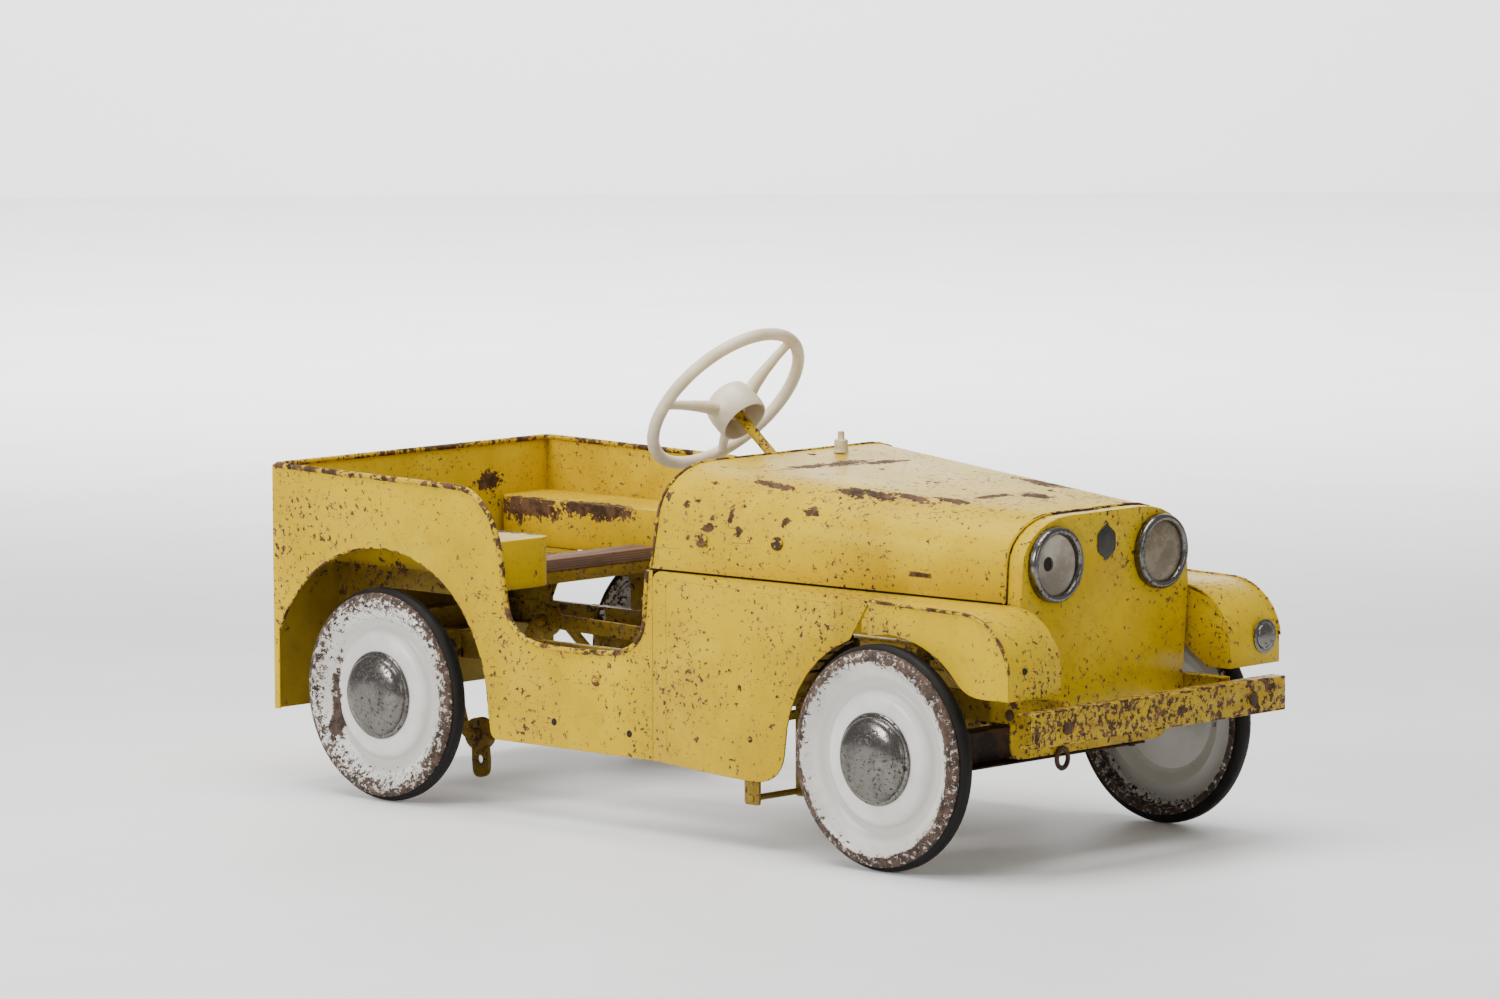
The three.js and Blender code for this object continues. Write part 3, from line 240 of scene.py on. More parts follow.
def fixed_pair(piece, material):
    """Keeps a piece of the left side, and its twin on the right."""
    fixed(piece, material)
    fixed(other_side(piece, piece.name.replace("left", "right")), material)


SIDES = ((1, "left"), (-1, "right"))


# %% [markdown]
# Old enamel is what makes this car look real, so its finish gets the most care. The paint is sprayed over
# steel, and it comes off in three ways: as specks where stones hit it, as flakes where it was bent or left
# wet, and as a bare line along every edge that hands and feet rub. Each way is a mask from 0 to 1, and the
# largest of them decides between paint and rust. A pattern on Object coordinates stays put on the metal.

# %% A small toolkit for building a finish from nodes
EDGE_REACH = 0.8 * SHEET  # less than the sheet, so that one face's wear never shows on the other


class Finish:
    """A material in the making: each method adds a node and gives back its output."""

    def __init__(self, name):
        self.material = bpy.data.materials.new(name)
        self.material.use_nodes = True
        self.tree = self.material.node_tree
        self.shader = self.tree.nodes["Principled BSDF"]
        self.place = self.node("ShaderNodeTexCoord").outputs["Object"]
        split = self.node("ShaderNodeSeparateXYZ")
        self.join(self.place, split.inputs[0])
        self.x, self.y, self.z = split.outputs

    def node(self, kind, **settings):
        new = self.tree.nodes.new(kind)
        for key, value in settings.items():
            setattr(new, key, value)
        return new

    def join(self, source, socket):
        if isinstance(source, (int, float)):
            socket.default_value = source
        elif isinstance(source, tuple):
            socket.default_value = (*source, 1.0)[: len(socket.default_value)]
        else:
            self.tree.links.new(source, socket)

    def moved(self, centre=(0, 0, 0), stretch=(1, 1, 1)):
        mapping = self.node("ShaderNodeMapping")
        self.join(self.place, mapping.inputs["Vector"])
        mapping.inputs["Location"].default_value = [-c * s for c, s in zip(centre, stretch)]
        mapping.inputs["Scale"].default_value = stretch
        return mapping.outputs[0]

    def noise(self, scale, detail=4, roughness=0.6, stretch=(1, 1, 1), shift=0.0):
        texture = self.node("ShaderNodeTexNoise")
        self.join(self.moved((shift, shift, shift), stretch), texture.inputs["Vector"])
        for label, value in (("Scale", scale), ("Detail", detail), ("Roughness", roughness)):
            texture.inputs[label].default_value = value
        return texture.outputs["Fac"]

    def math(self, operation, a, b=0.0):
        new = self.node("ShaderNodeMath", operation=operation)
        self.join(a, new.inputs[0])
        self.join(b, new.inputs[1])
        return new.outputs[0]

    def times(self, a, b):
        return self.math("MULTIPLY", a, b)

    def plus(self, a, b):
        return self.math("ADD", a, b)

    def minus(self, a, b):
        return self.math("SUBTRACT", a, b)

    def without(self, mask):
        """1 where the mask is 0, and 0 where it is 1."""
        return self.minus(1.0, mask)

    def swing(self, texture, width):
        """A noise moved to run evenly to both sides of 0."""
        return self.times(self.minus(texture, 0.5), width)

    def step(self, value, low, high):
        """0 below low, 1 above high, and a soft slope between."""
        new = self.node("ShaderNodeMapRange", interpolation_type="SMOOTHSTEP", clamp=True)
        self.join(value, new.inputs["Value"])
        self.join(low, new.inputs["From Min"])
        self.join(high, new.inputs["From Max"])
        return new.outputs["Result"]

    def above(self, value, level, soft):
        """1 where the value passes a level, which may itself vary from place to place."""
        return self.step(value, level, self.plus(level, soft))

    def scale(self, value, low, high):
        """A value from 0 to 1 spread between low and high."""
        return self.plus(self.times(value, high - low), low)

    def mix(self, factor, a, b):
        new = self.node("ShaderNodeMix", data_type="RGBA")
        self.join(factor, new.inputs[0])
        self.join(a, new.inputs[6])
        self.join(b, new.inputs[7])
        return new.outputs[2]

    def largest(self, *masks):
        total = masks[0]
        for mask in masks[1:]:
            total = self.math("MAXIMUM", total, mask)
        return total

    def distance(self, centre, stretch=(1, 1, 1)):
        length = self.node("ShaderNodeVectorMath", operation="LENGTH")
        self.join(self.moved(centre, stretch), length.inputs[0])
        return length.outputs["Value"]

    def patch(self, centre, size, ragged):
        """1 inside an ellipsoid with a ragged outline, 0 outside."""
        reach = self.distance(centre, tuple(1 / s for s in size))
        return self.step(self.plus(self.without(reach), ragged), 0.12, 0.22)

    def edges(self, radius):
        """Up to 1 at a sharp edge: where a rounded normal leaves the true one."""
        rounded = self.node("ShaderNodeBevel", samples=6)
        rounded.inputs["Radius"].default_value = radius
        true = self.node("ShaderNodeNewGeometry")
        dot = self.node("ShaderNodeVectorMath", operation="DOT_PRODUCT")
        self.join(rounded.outputs[0], dot.inputs[0])
        self.join(true.outputs["Normal"], dot.inputs[1])
        return self.times(self.without(dot.outputs["Value"]), 3.4)

    def upright(self):
        """How far the surface faces up or down, from 0 to 1."""
        split = self.node("ShaderNodeSeparateXYZ")
        self.join(self.node("ShaderNodeNewGeometry").outputs["Normal"], split.inputs[0])
        return self.math("ABSOLUTE", split.outputs[2])

    def finish(self, colour, roughness, metallic=0.0, height=None, depth=0.0004, strength=0.6, shine=0.4):
        self.join(colour, self.shader.inputs["Base Color"])
        self.join(roughness, self.shader.inputs["Roughness"])
        self.join(metallic, self.shader.inputs["Metallic"])
        self.join(shine, self.shader.inputs["Specular IOR Level"])
        if height is not None:
            bump = self.node("ShaderNodeBump")
            bump.inputs["Strength"].default_value = strength
            bump.inputs["Distance"].default_value = depth
            self.join(height, bump.inputs["Height"])
            self.join(bump.outputs[0], self.shader.inputs["Normal"])
        return self.material


# %% [markdown]
# The yellow enamel has faded unevenly. A slow noise moves it between a warm yellow and a duller ochre, a
# fine one lays grime into it, and specks gather in clusters because a second, slower noise raises or lowers
# the level at which a speck shows. Rust is never one brown: it runs from near black to a dry red-brown.

# %% Colours of the enamel and of rust
YELLOW = (0.57, 0.375, 0.0)
OCHRE = (0.46, 0.29, 0.0)
PALE_YELLOW = (0.65, 0.46, 0.008)
# the colour of the painted shade on the low inner faces
UNDER_SHADE = (0.085, 0.050, 0.010)
GRIME = (0.21, 0.13, 0.006)
RUST_DARK = (0.030, 0.016, 0.012)
RUST_WARM = (0.125, 0.060, 0.036)
PRIMER = (0.40, 0.24, 0.10)
WARM_GLOSS = (1.0, 0.82, 0.30)


def rust_colour(f):
    return f.mix(f.step(f.noise(70, 6, 0.7), 0.38, 0.66), RUST_DARK, RUST_WARM)


# %% The paint of the body, before any wear
def faded_paint(f, tone, grime):
    pale = f.step(f.noise(15, 4, 0.6, shift=3.1), 0.52, 0.75)
    dirt = f.step(f.noise(55, 8, 0.78, shift=1.7), 0.62 - 0.16 * grime, 0.86 - 0.1 * grime)
    paint = f.mix(f.step(tone, 0.35, 0.68), YELLOW, OCHRE)
    paint = f.mix(f.times(pale, 0.55), paint, PALE_YELLOW)
    return f.mix(f.times(dirt, 0.55), paint, GRIME)


def shaded_underneath(f, inner_side):
    """1 on the low inner faces of the tub and frame, which get a painted shade."""
    inward = f.without(f.step(f.math("ABSOLUTE", f.y), SIDE_Y - 1.1 * MM, SIDE_Y - 0.3 * MM))
    low_down = f.without(f.step(f.z, BENCH_TOP - 52 * MM, BENCH_TOP - 38 * MM))
    behind = f.without(f.step(f.x, FRONT_AXLE.x + 55 * MM, FRONT_AXLE.x + 60 * MM))
    return f.times(f.times(inward, low_down), f.times(behind, inner_side))


# %% The ways the enamel comes off, and the whole finish
def scratches(f, clusters):
    lines = f.noise(58, 4, 0.6, stretch=(0.30, 1.0, 11.0), shift=4.4)
    return f.times(f.step(lines, f.scale(clusters, 0.80, 0.58), f.scale(clusters, 0.82, 0.61)), 0.8)


def flaking(f, flakes):
    level = f.scale(f.noise(5.5, 3, 0.6, shift=8.9), 0.90 - 0.08 * flakes, 0.50 - 0.04 * flakes)
    return f.above(f.noise(62, 7, 0.66, shift=2.2), level, 0.02)


def rubbed_edge(f, rub):
    true_edge = f.edges(EDGE_REACH)
    worn = f.plus(true_edge, f.swing(f.noise(34, 7, 0.74), 2.2))
    return f.times(f.step(worn, 0.72 - 0.45 * rub, 0.80 - 0.45 * rub), f.step(true_edge, 0.03, 0.10))


def body_enamel(name, specks=0.5, flakes=0.4, rub=0.5, grime=0.3, patches=()):
    """specks, flakes, rub and grime run up from 0; patches are (centre, size) of places worn bare."""
    f = Finish(name)
    tone = f.noise(7, 5, 0.65)
    clusters = f.noise(9, 4, 0.6, shift=5.3)
    grain = f.noise(210, 4, 0.72)
    level = f.scale(clusters, 0.86 - 0.14 * specks, 0.46 - 0.02 * specks)
    speck = f.above(grain, level, 0.035)
    dots = f.step(f.noise(430, 3, 0.7, shift=12.3), 0.675 - 0.02 * specks, 0.70 - 0.02 * specks)
    ragged = f.plus(f.swing(f.noise(75, 8, 0.72, shift=6.6), 2.6),
                    f.swing(f.noise(250, 4, 0.6, shift=2.9), 1.8))
    inner_side = f.step(f.x, BACK_X + 0.4 * SHEET, BACK_X + 0.7 * SHEET)
    places = [f.times(f.patch(centre, size, ragged), inner_side) for centre, size in patches]
    bare = f.largest(speck, flaking(f, flakes), scratches(f, clusters), f.times(dots, 0.85),
                     rubbed_edge(f, rub), *places)
    # the low inner faces of the tub and frame are darkened here as a painted shade
    under = f.times(shaded_underneath(f, inner_side), f.scale(tone, 0.35, 0.95))
    paint = f.mix(under, faded_paint(f, tone, grime), UNDER_SHADE)
    halo = f.step(f.largest(f.step(grain, f.minus(level, 0.05), level), *places), 0.2, 1.0)
    paint = f.mix(f.times(halo, 0.35), paint, PRIMER)
    gloss = f.scale(f.noise(24, 4, 0.6, shift=7.7), 0.30, 0.50)
    height = f.minus(f.times(f.noise(16, 2, 0.4, shift=9.9), 1.2), f.times(bare, 0.35))
    f.join(WARM_GLOSS, f.shader.inputs["Specular Tint"])
    return f.finish(f.mix(bare, paint, rust_colour(f)), f.plus(gloss, f.times(bare, 0.38)), 0.0, height,
                    depth=0.0007, strength=0.55, shine=0.26)


ENAMEL_SIDES = body_enamel("yellow_enamel_sides", specks=0.75, flakes=0.45, rub=0.65, grime=0.55)


def worn_places(rows):
    """Bare places in mm: x from the bonnet's rear edge, y, z from the bonnet's top, then the three radii."""
    return [((COWL_X + x * MM, y * MM, COWL_Z + z * MM), (a * MM, b * MM, c * MM))
            for x, y, z, a, b, c in rows]


TOP_STREAKS = worn_places([
    (71, -52, -5, 10, 36, 20), (73, -6, -5, 13, 36, 20), (87, 36, -6, 10, 30, 20),
    (176, -105, -16, 20, 10, 20), (203, -100, -17, 26, 9, 20), (235, -90, -19, 26, 8, 20),
    (268, -76, -20, 22, 8, 20), (274, -26, -20, 8, 30, 20), (291, 10, -21, 20, 14, 20),
    (250, 72, -18, 36, 14, 20), (99, -125, -14, 36, 5, 20), (56, -165, -52, 9, 30, 4),
    (134, -149, -43, 5, 30, 5), (77, -159, -41, 3, 30, 9), (87, -160, -53, 4, 30, 6),
    (157, -138, -33, 10, 20, 4),
])
FRONT_EDGE = worn_places([(366, -20, -26, 6, 50, 12), (364, 55, -27, 4, 30, 10)])
ENAMEL_BONNET = body_enamel("yellow_enamel_bonnet", 0.8, 0.7, 0.45, 0.2, [*TOP_STREAKS, *FRONT_EDGE])
ENAMEL_NOSE = body_enamel("yellow_enamel_nose", 0.75, 0.3, 0.6, 0.9, FRONT_EDGE)
BENCH_PATCHES = [
    ((BACK_X + 0.050, BENCH_Y, BENCH_TOP - 0.008), (0.055, 0.014, 0.016)),
    ((BACK_X + 0.140, BENCH_Y, BENCH_TOP - 0.004), (0.060, 0.022, 0.012)),
    ((BACK_X + 0.002, 0.100, BENCH_TOP + 0.014), (0.010, 0.022, 0.011)),
    ((BACK_X + 0.230, -BENCH_Y, BENCH_TOP - 0.003), (0.070, 0.016, 0.010)),
    ((BACK_X + 0.090, -BENCH_Y, BENCH_TOP - 0.006), (0.050, 0.012, 0.014)),
]
ENAMEL_TUB = body_enamel("yellow_enamel_tub", 0.45, 0.5, 0.5, 0.25, BENCH_PATCHES)
ENAMEL_BEAD = body_enamel("yellow_enamel_bead", 1.6, 3.4, 0.0, 0.8)
ENAMEL_BUMPER = body_enamel("yellow_enamel_bumper", 1.8, 2.0, 1.0, 2.2)
ENAMEL_FRAME = body_enamel("yellow_enamel_frame", 1.2, 1.6, 0.7, 1.8)
print("enamels ready:", [m.name for m in bpy.data.materials if m.name.startswith("yellow")])

# %% [markdown]
# The wheels are white over steel. Their paint is soundest at the hub and gives way outwards, until the
# rolled edge of the rim is bare all round, so the level at which a speck of rust shows falls with the
# distance from the axle. That distance needs the axle's place, so front and rear wheels get one finish each.

# %% The wheels' white enamel
WHITE = (0.68, 0.665, 0.625)
# a duller white for patches of tone, also the painted shade of the dish's valley and the inner faces
WHITE_DULL_AND_SHADE = (0.52, 0.50, 0.46)
RIM_STAIN = (0.30, 0.22, 0.15)
WHEEL_RUST = (0.022, 0.014, 0.010), (0.095, 0.055, 0.036)
FACE_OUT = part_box("wheel_disc_rear_left")[1].y


def wheel_enamel(name, axle, first, band, streak):
    """Specks start at the share first of the tyre's radius, and the metal is bare beyond the share band."""
    f = Finish(name)
    out = f.math("DIVIDE", f.distance((axle.x, 0, axle.z), (1, 0, 1)), TYRE_R)
    grain = f.noise(230, 5, 0.75)
    level = f.plus(f.scale(f.step(out, first, 0.93), 0.75, 0.47), f.swing(f.noise(9, 4, 0.6), 0.30))
    speck = f.above(grain, level, 0.03)
    worn_out = f.plus(out, f.swing(f.noise(70, 8, 0.75), 0.13))
    rim = f.times(f.step(worn_out, band, band + 0.012), f.step(grain, 0.38, 0.44))
    flake = f.above(f.noise(45, 7, 0.66, shift=2.0), f.scale(f.noise(7, 3, 0.6, shift=4.0), 0.88, 0.56), 0.02)
    rubbed = f.patch((axle.x - 61 * MM, 6 * MM - FACE_OUT, axle.z - 12 * MM), (0.011, 0.03, 0.046),
                     f.swing(f.noise(90, 7, 0.7), 2.4))
    bare = f.largest(speck, rim, flake, f.times(rubbed, streak))
    stain = f.step(f.plus(out, f.times(f.noise(20, 5, 0.7), 0.3)), 0.86, 1.08)
    paint = f.mix(f.step(f.noise(14, 5, 0.6), 0.4, 0.7), WHITE, WHITE_DULL_AND_SHADE)
    paint = f.mix(f.times(stain, 0.4), paint, RIM_STAIN)
    # everything deeper than the tyre's outer side, the dish's valley and the inner faces, takes the duller white
    # as a painted shade
    outer_face_unshaded = f.step(f.math("ABSOLUTE", f.y), TYRE_OUT - 4 * MM, TYRE_OUT)
    paint = f.mix(outer_face_unshaded, WHITE_DULL_AND_SHADE, paint)
    rust = f.mix(f.step(f.noise(120, 5, 0.7, shift=1.0), 0.35, 0.65), *WHEEL_RUST)
    height = f.minus(f.times(f.noise(30, 2, 0.4), 0.5), f.times(bare, 0.4))
    return f.finish(f.mix(bare, paint, rust), f.plus(0.30, f.times(bare, 0.5)), 0.0, height, 0.0005, 0.5)


WHEEL_ENAMEL = {"front": wheel_enamel("white_enamel_front", FRONT_AXLE, 0.64, 0.85, 0.0),
                "rear": wheel_enamel("white_enamel_rear", REAR_AXLE, 0.52, 0.91, 1.0)}


# %% Tyre, chrome, bare steel, cream moulding, plywood, glass and black enamel
def tyre_rubber():
    f = Finish("hard_tyre")
    dust = f.step(f.noise(38, 6, 0.7), 0.42, 0.75)
    colour = f.mix(f.times(dust, 0.6), (0.004, 0.0035, 0.003), (0.020, 0.015, 0.010))
    fine = f.noise(420, 3, 0.6)
    return f.finish(colour, f.scale(dust, 0.55, 0.85), 0.0, fine, 0.0003, 0.35, shine=0.2)


def pitted_chrome(name, bright=0.62, pits=0.5):
    f = Finish(name)
    grain = f.noise(330, 4, 0.7)
    pit = f.above(grain, f.scale(f.noise(22, 4, 0.6), 0.78 - 0.12 * pits, 0.56 - 0.08 * pits), 0.04)
    film = f.step(f.noise(60, 6, 0.7, shift=3.0), 0.40, 0.75)
    plating = f.mix(f.times(film, 0.6), (bright, bright * 0.94, bright * 0.86), (0.040, 0.033, 0.025))
    colour = f.mix(pit, plating, (0.020, 0.013, 0.009))
    roughness = f.plus(f.scale(film, 0.14, 0.36), f.times(pit, 0.4))
    metallic = f.without(f.times(pit, 0.8))
    height = f.minus(f.times(f.noise(48, 3, 0.5), 0.5), f.times(pit, 0.5))
    return f.finish(colour, roughness, metallic, height, 0.0004, 0.45)


def rusty_steel():
    f = Finish("rusty_steel")
    patchy = f.noise(48, 7, 0.72)
    colour = f.mix(f.step(patchy, 0.42, 0.62), (0.030, 0.022, 0.018), (0.105, 0.050, 0.026))
    colour = f.mix(f.times(f.step(f.noise(24, 5, 0.6), 0.6, 0.7), 0.6), colour, (0.20, 0.13, 0.03))
    grain = f.noise(300, 4, 0.7)
    return f.finish(colour, f.scale(patchy, 0.55, 0.95), 0.35, grain, 0.0004, 0.6)


def cream_moulding():
    f = Finish("cream_moulding")
    cloud = f.step(f.noise(18, 5, 0.6), 0.40, 0.70)
    colour = f.mix(cloud, (0.74, 0.65, 0.48), (0.60, 0.49, 0.31))
    handled = f.step(f.noise(52, 7, 0.72, shift=2.0), 0.58, 0.76)
    colour = f.mix(f.times(handled, 0.55), colour, (0.30, 0.21, 0.12))
    return f.finish(colour, f.scale(cloud, 0.32, 0.5), 0.0, f.noise(120, 4, 0.6), 0.0003, 0.3)


PLY = 2.3 * MM  # thickness of one layer of the board


def plywood():
    f = Finish("plywood")
    plies = f.math("FRACT", f.times(f.z, 1 / PLY))
    dark = f.step(f.math("ABSOLUTE", f.minus(plies, 0.5)), 0.30, 0.42)
    grain = f.noise(9, 8, 0.7, stretch=(9.0, 0.6, 9.0))
    wood = f.mix(f.step(grain, 0.36, 0.66), (0.20, 0.108, 0.062), (0.075, 0.040, 0.025))
    wood = f.mix(f.times(f.step(f.noise(34, 6, 0.7), 0.55, 0.7), 0.6), wood, (0.055, 0.035, 0.025))
    layered = f.times(dark, f.without(f.upright()))
    colour = f.mix(f.times(layered, 0.75), wood, (0.045, 0.026, 0.018))
    return f.finish(colour, 0.72, 0.0, f.plus(grain, layered), 0.0004, 0.5)


def clouded_lens():
    f = Finish("clouded_lens")
    cloud = f.step(f.noise(46, 6, 0.7), 0.36, 0.70)
    colour = f.mix(cloud, (0.105, 0.075, 0.038), (0.22, 0.175, 0.115))
    return f.finish(colour, f.scale(cloud, 0.16, 0.42), 0.0, f.noise(60, 3, 0.5), 0.0004, 0.25)


def plain_finish(name, dark, light, roughness, metallic=0.0, scale=80):
    f = Finish(name)
    colour = f.mix(f.step(f.noise(scale, 5, 0.65), 0.4, 0.65), dark, light)
    return f.finish(colour, roughness, metallic, f.noise(scale * 4, 3, 0.6), 0.0002, 0.3)


TYRE = tyre_rubber()
HUB_CHROME = pitted_chrome("pitted_hub_chrome", 0.16, 1.1)
LAMP_CHROME = pitted_chrome("tarnished_lamp_chrome", 0.17, 1.0)
STEEL = rusty_steel()
CREAM = cream_moulding()
PLYWOOD = plywood()
LENS = clouded_lens()
YELLOWED = plain_finish("yellowed_moulding", (0.44, 0.35, 0.17), (0.60, 0.51, 0.31), 0.45)
BLACK = plain_finish("black_enamel", (0.010, 0.009, 0.008), (0.035, 0.028, 0.02), 0.4)
DISH = plain_finish("dull_reflector", (0.24, 0.20, 0.15), (0.38, 0.34, 0.28), 0.45, 0.3, 30)
SHADOW = plain_finish("dark_hole", (0.010, 0.008, 0.006), (0.022, 0.014, 0.009), 0.9)
TREAD = plain_finish("pedal_rubber", (0.020, 0.019, 0.018), (0.05, 0.045, 0.04), 0.8)
print(len(bpy.data.materials), "materials")

# %% [markdown]
# Pressed sheet has no knife edges: shears and folds leave a small radius that catches the light. Each sheet
# of the frame is copied, its loose triangles are merged into whole faces, and a narrow bevel rounds every
# corner. The copy stands for its node from then on, and the node is hidden.

# %% Sheets and forgings with soft edges
SHARPEST_KEPT = 35  # degrees: a flatter edge than this stays as it is


def softened(node, material, soft):
    """A copy of a node with its triangles merged and its edges rounded, which stands for the node."""
    select_only(nodes[node])
    bpy.ops.object.duplicate()
    copy = named(node + "_piece")
    for key in list(copy.keys()):
        del copy[key]
    copy.parent = None
    edit_all()
    bpy.ops.mesh.remove_doubles(threshold=1e-6)
    bpy.ops.mesh.dissolve_limited(angle_limit=math.radians(0.4))
    leave_edit()
    if soft:
        apply_modifier(copy, "BEVEL", width=soft, segments=2, limit_method="ANGLE",
                       angle_limit=math.radians(SHARPEST_KEPT), use_clamp_overlap=True)
    settle(copy, SHARPEST_KEPT)
    keep(copy, body_of_node[node], material)
    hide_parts(node)


def pair(name):
    return [name + "_left", name + "_right"]


SHEETS = [
    (ENAMEL_SIDES, pair("tub_side")),
    (ENAMEL_TUB, ["tub_back", *pair("wheel_box")]),
    (ENAMEL_FRAME, ["seat_pan"]),
    (PLYWOOD, ["seat_board"]),
    (ENAMEL_FRAME, ["dashboard"]),
    (ENAMEL_BONNET, ["bonnet"]),
    (ENAMEL_NOSE, ["nose_panel"]),
    (ENAMEL_SIDES, [*pair("front_panel"), *pair("wing")]),
    (ENAMEL_BUMPER, ["bumper"]),
    (ENAMEL_FRAME, ["front_cross_plate", *pair("chassis_rail"), "rear_cross_member", *pair("axle_hanger"),
                    *pair("pedal_hanger")]),
    (BLACK, ["nose_badge"]),
    (YELLOWED, ["bonnet_post"]),
    (ENAMEL_FRAME, ["steering_column"]),
    (STEEL, ["front_axle_beam", "column_bracket", "track_rod", *pair("stub_axle")]),
    (ENAMEL_FRAME, ["crank_axle", *pair("connecting_rod"), *pair("pedal_arm")]),
    (TREAD, pair("pedal_tread")),
    (STEEL, [*pair("bumper_bolt"), "tow_loop"]),
]
LEFT_SHARP = ("tow_loop", "crank_axle", "track_rod", "steering_column")  # round bars and running fits
for material, group in SHEETS:
    for node in group:
        softened(node, material, 0.0 if node in LEFT_SHARP else 0.4 * MM)
print(sum(len(group) for _, group in SHEETS), "softened pieces")

# %% [markdown]
# A wheel is two pressings and a hard tyre. Each is a solid of revolution, so its section is drawn once as a
# chain of points beside the axle and spun round it. The left front wheel is made first, then copied to the
# other three places.

# %% Sections of the wheel, as radius and distance out from the axle's middle
FACE_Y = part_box("wheel_disc_front_left")[1].y
FLAT_Y = FACE_Y - 4 * MM
cap_low, cap_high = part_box("hub_cap_front_left")
CAP_Y, CAP_TIP, CAP_R = cap_low.y, cap_high.y, (cap_high.x - cap_low.x) / 2
HUB_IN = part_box("wheel_disc_front_left")[0].y
AXLE_R = 5 * MM
RIM_R = TYRE_R - 4.5 * MM


def quarter(count):
    """Angles from 0 to 90 degrees in equal steps."""
    return [math.pi / 2 * i / count for i in range(count + 1)]


def arc(centre, radius, start, end, count):
    """Points on an arc in a section, angles in degrees from the radial direction."""
    angles = [math.radians(start + (end - start) * i / count) for i in range(count + 1)]
    return [(centre[0] + radius * math.cos(a), centre[1] + radius * math.sin(a)) for a in angles]


def beside(radius, out, offsets):
    """Points of a section, given by their distances in mm from a corner of it."""
    return [(radius + dr * MM, out + ds * MM) for dr, ds in offsets]


def disc_section():
    shoulder = arc((RIM_R - 9 * MM, FACE_Y - 4.5 * MM), 4.5 * MM, 100, 40, 5)
    rim = arc((RIM_R - 3.6 * MM, FACE_Y - 5.6 * MM), 3.6 * MM, 62, -20, 5)
    dish = beside(CAP_R, FLAT_Y, [(1, 0), (8, -0.2), (13, -0.6), (16, -2.4), (18.5, -5.4), (21, -8),
                                  (24, -8.8), (28, -7.6), (33, -4.2), (38, -0.4)])
    back = [*beside(RIM_R, FLAT_Y, [(-13, -1.4)]),
            *beside(CAP_R, FLAT_Y, [(33, -7), (24, -11), (16, -7), (10, -2.6)]),
            *beside(AXLE_R, FLAT_Y, [(6, -2), (5, -3)]),
            *beside(AXLE_R, HUB_IN, [(5, 0), (0.4, 0)]), (AXLE_R + 0.4 * MM, FLAT_Y)]
    drum = [*beside(TYRE_R, TYRE_OUT, [(-12.4, 0.4)]),
            *beside(TYRE_R, TYRE_IN, [(-12.4, -0.4), (-8, -0.6), (-8, -2), (-14, -2)]),
            *beside(TYRE_R, TYRE_OUT, [(-14, -2)])]
    return [*dish, *beside(RIM_R, FLAT_Y, [(-12.6, 2.4)]), *shoulder, *rim, *drum, *back]


def tyre_section():
    out = arc((TYRE_R - 6 * MM, TYRE_OUT - 6 * MM), 6 * MM, 90, 0, 6)
    inner = arc((TYRE_R - 6 * MM, TYRE_IN + 6 * MM), 6 * MM, 0, -90, 6)
    return [(TYRE_R - 12 * MM, TYRE_IN), (TYRE_R - 12 * MM, TYRE_OUT), *out, *inner]


def cap_section():
    rise = CAP_TIP - CAP_Y
    lip = [(0, CAP_Y), *beside(CAP_R, CAP_Y, [(0, 0), (0, 1.2), (-0.8, 2.2), (-2.6, 2.4)])]
    crown_r, foot = CAP_R - 3.2 * MM, 2.6 * MM
    bulge = [(crown_r * math.cos(a) ** 0.86, CAP_Y + foot + (rise - foot) * math.sin(a) ** 0.9)
             for a in quarter(12)[:-1]]
    return [*lip, *bulge, (0, CAP_TIP)]


# %% Turn one wheel and copy it to all four axle ends
def place_copy(piece, name, shift):
    select_only(piece)
    bpy.ops.object.duplicate()
    copy = named(name)
    edit_all()
    bpy.ops.transform.translate(value=shift)
    leave_edit()
    return copy


hub_place = (FRONT_AXLE.x, 0, FRONT_AXLE.z)
patterns = {
    "wheel_disc": turned("wheel_disc_pattern", disc_section(), hub_place, steps=96),
    "tyre": turned("tyre_pattern", tyre_section(), hub_place, steps=96),
    "hub_cap": turned("hub_cap_pattern", cap_section(), hub_place, steps=64, closed=False),
}
for kind, pattern in patterns.items():
    for end, axle in (("front", FRONT_AXLE), ("rear", REAR_AXLE)):
        material = {"wheel_disc": WHEEL_ENAMEL[end], "tyre": TYRE, "hub_cap": HUB_CHROME}[kind]
        for side in ("left", "right"):
            node = f"{kind}_{end}_{side}"
            copy = place_copy(pattern, node + "_piece", (axle.x - FRONT_AXLE.x, 0, 0))
            if side == "right":
                mirrored = other_side(copy, node + "_piece_right")
                bpy.data.objects.remove(copy)
                mirrored.name = node + "_piece"
                copy = mirrored
            settle(copy)
            keep(copy, body_of_node[node], material)
            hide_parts(node)
for pattern in patterns.values():
    bpy.data.objects.remove(pattern)
print("wheels:", len([n for n in made if "wheel_disc" in n]))

# %% [markdown]
# A press can't leave a raw edge where a child climbs in, so the tub's rim is rolled round a wire. The roll
# follows the outline of the side sheets, which is read from the frame: the biggest flat face of a side sheet
# gives its outline in order, and the part between the rear corner and the bonnet is the edge of the cockpit.

# %% Read an outline from a sheet
def outline_of(piece_name, up=Vector((0, 1, 0))):
    """The corners, in order, of the largest face that looks along up."""
    mesh = bpy.data.objects[piece_name].data
    faces = [p for p in mesh.polygons if p.normal.dot(up) > 0.99]
    face = max(faces, key=lambda p: p.area)
    return [mesh.vertices[i].co.copy() for i in face.vertices]


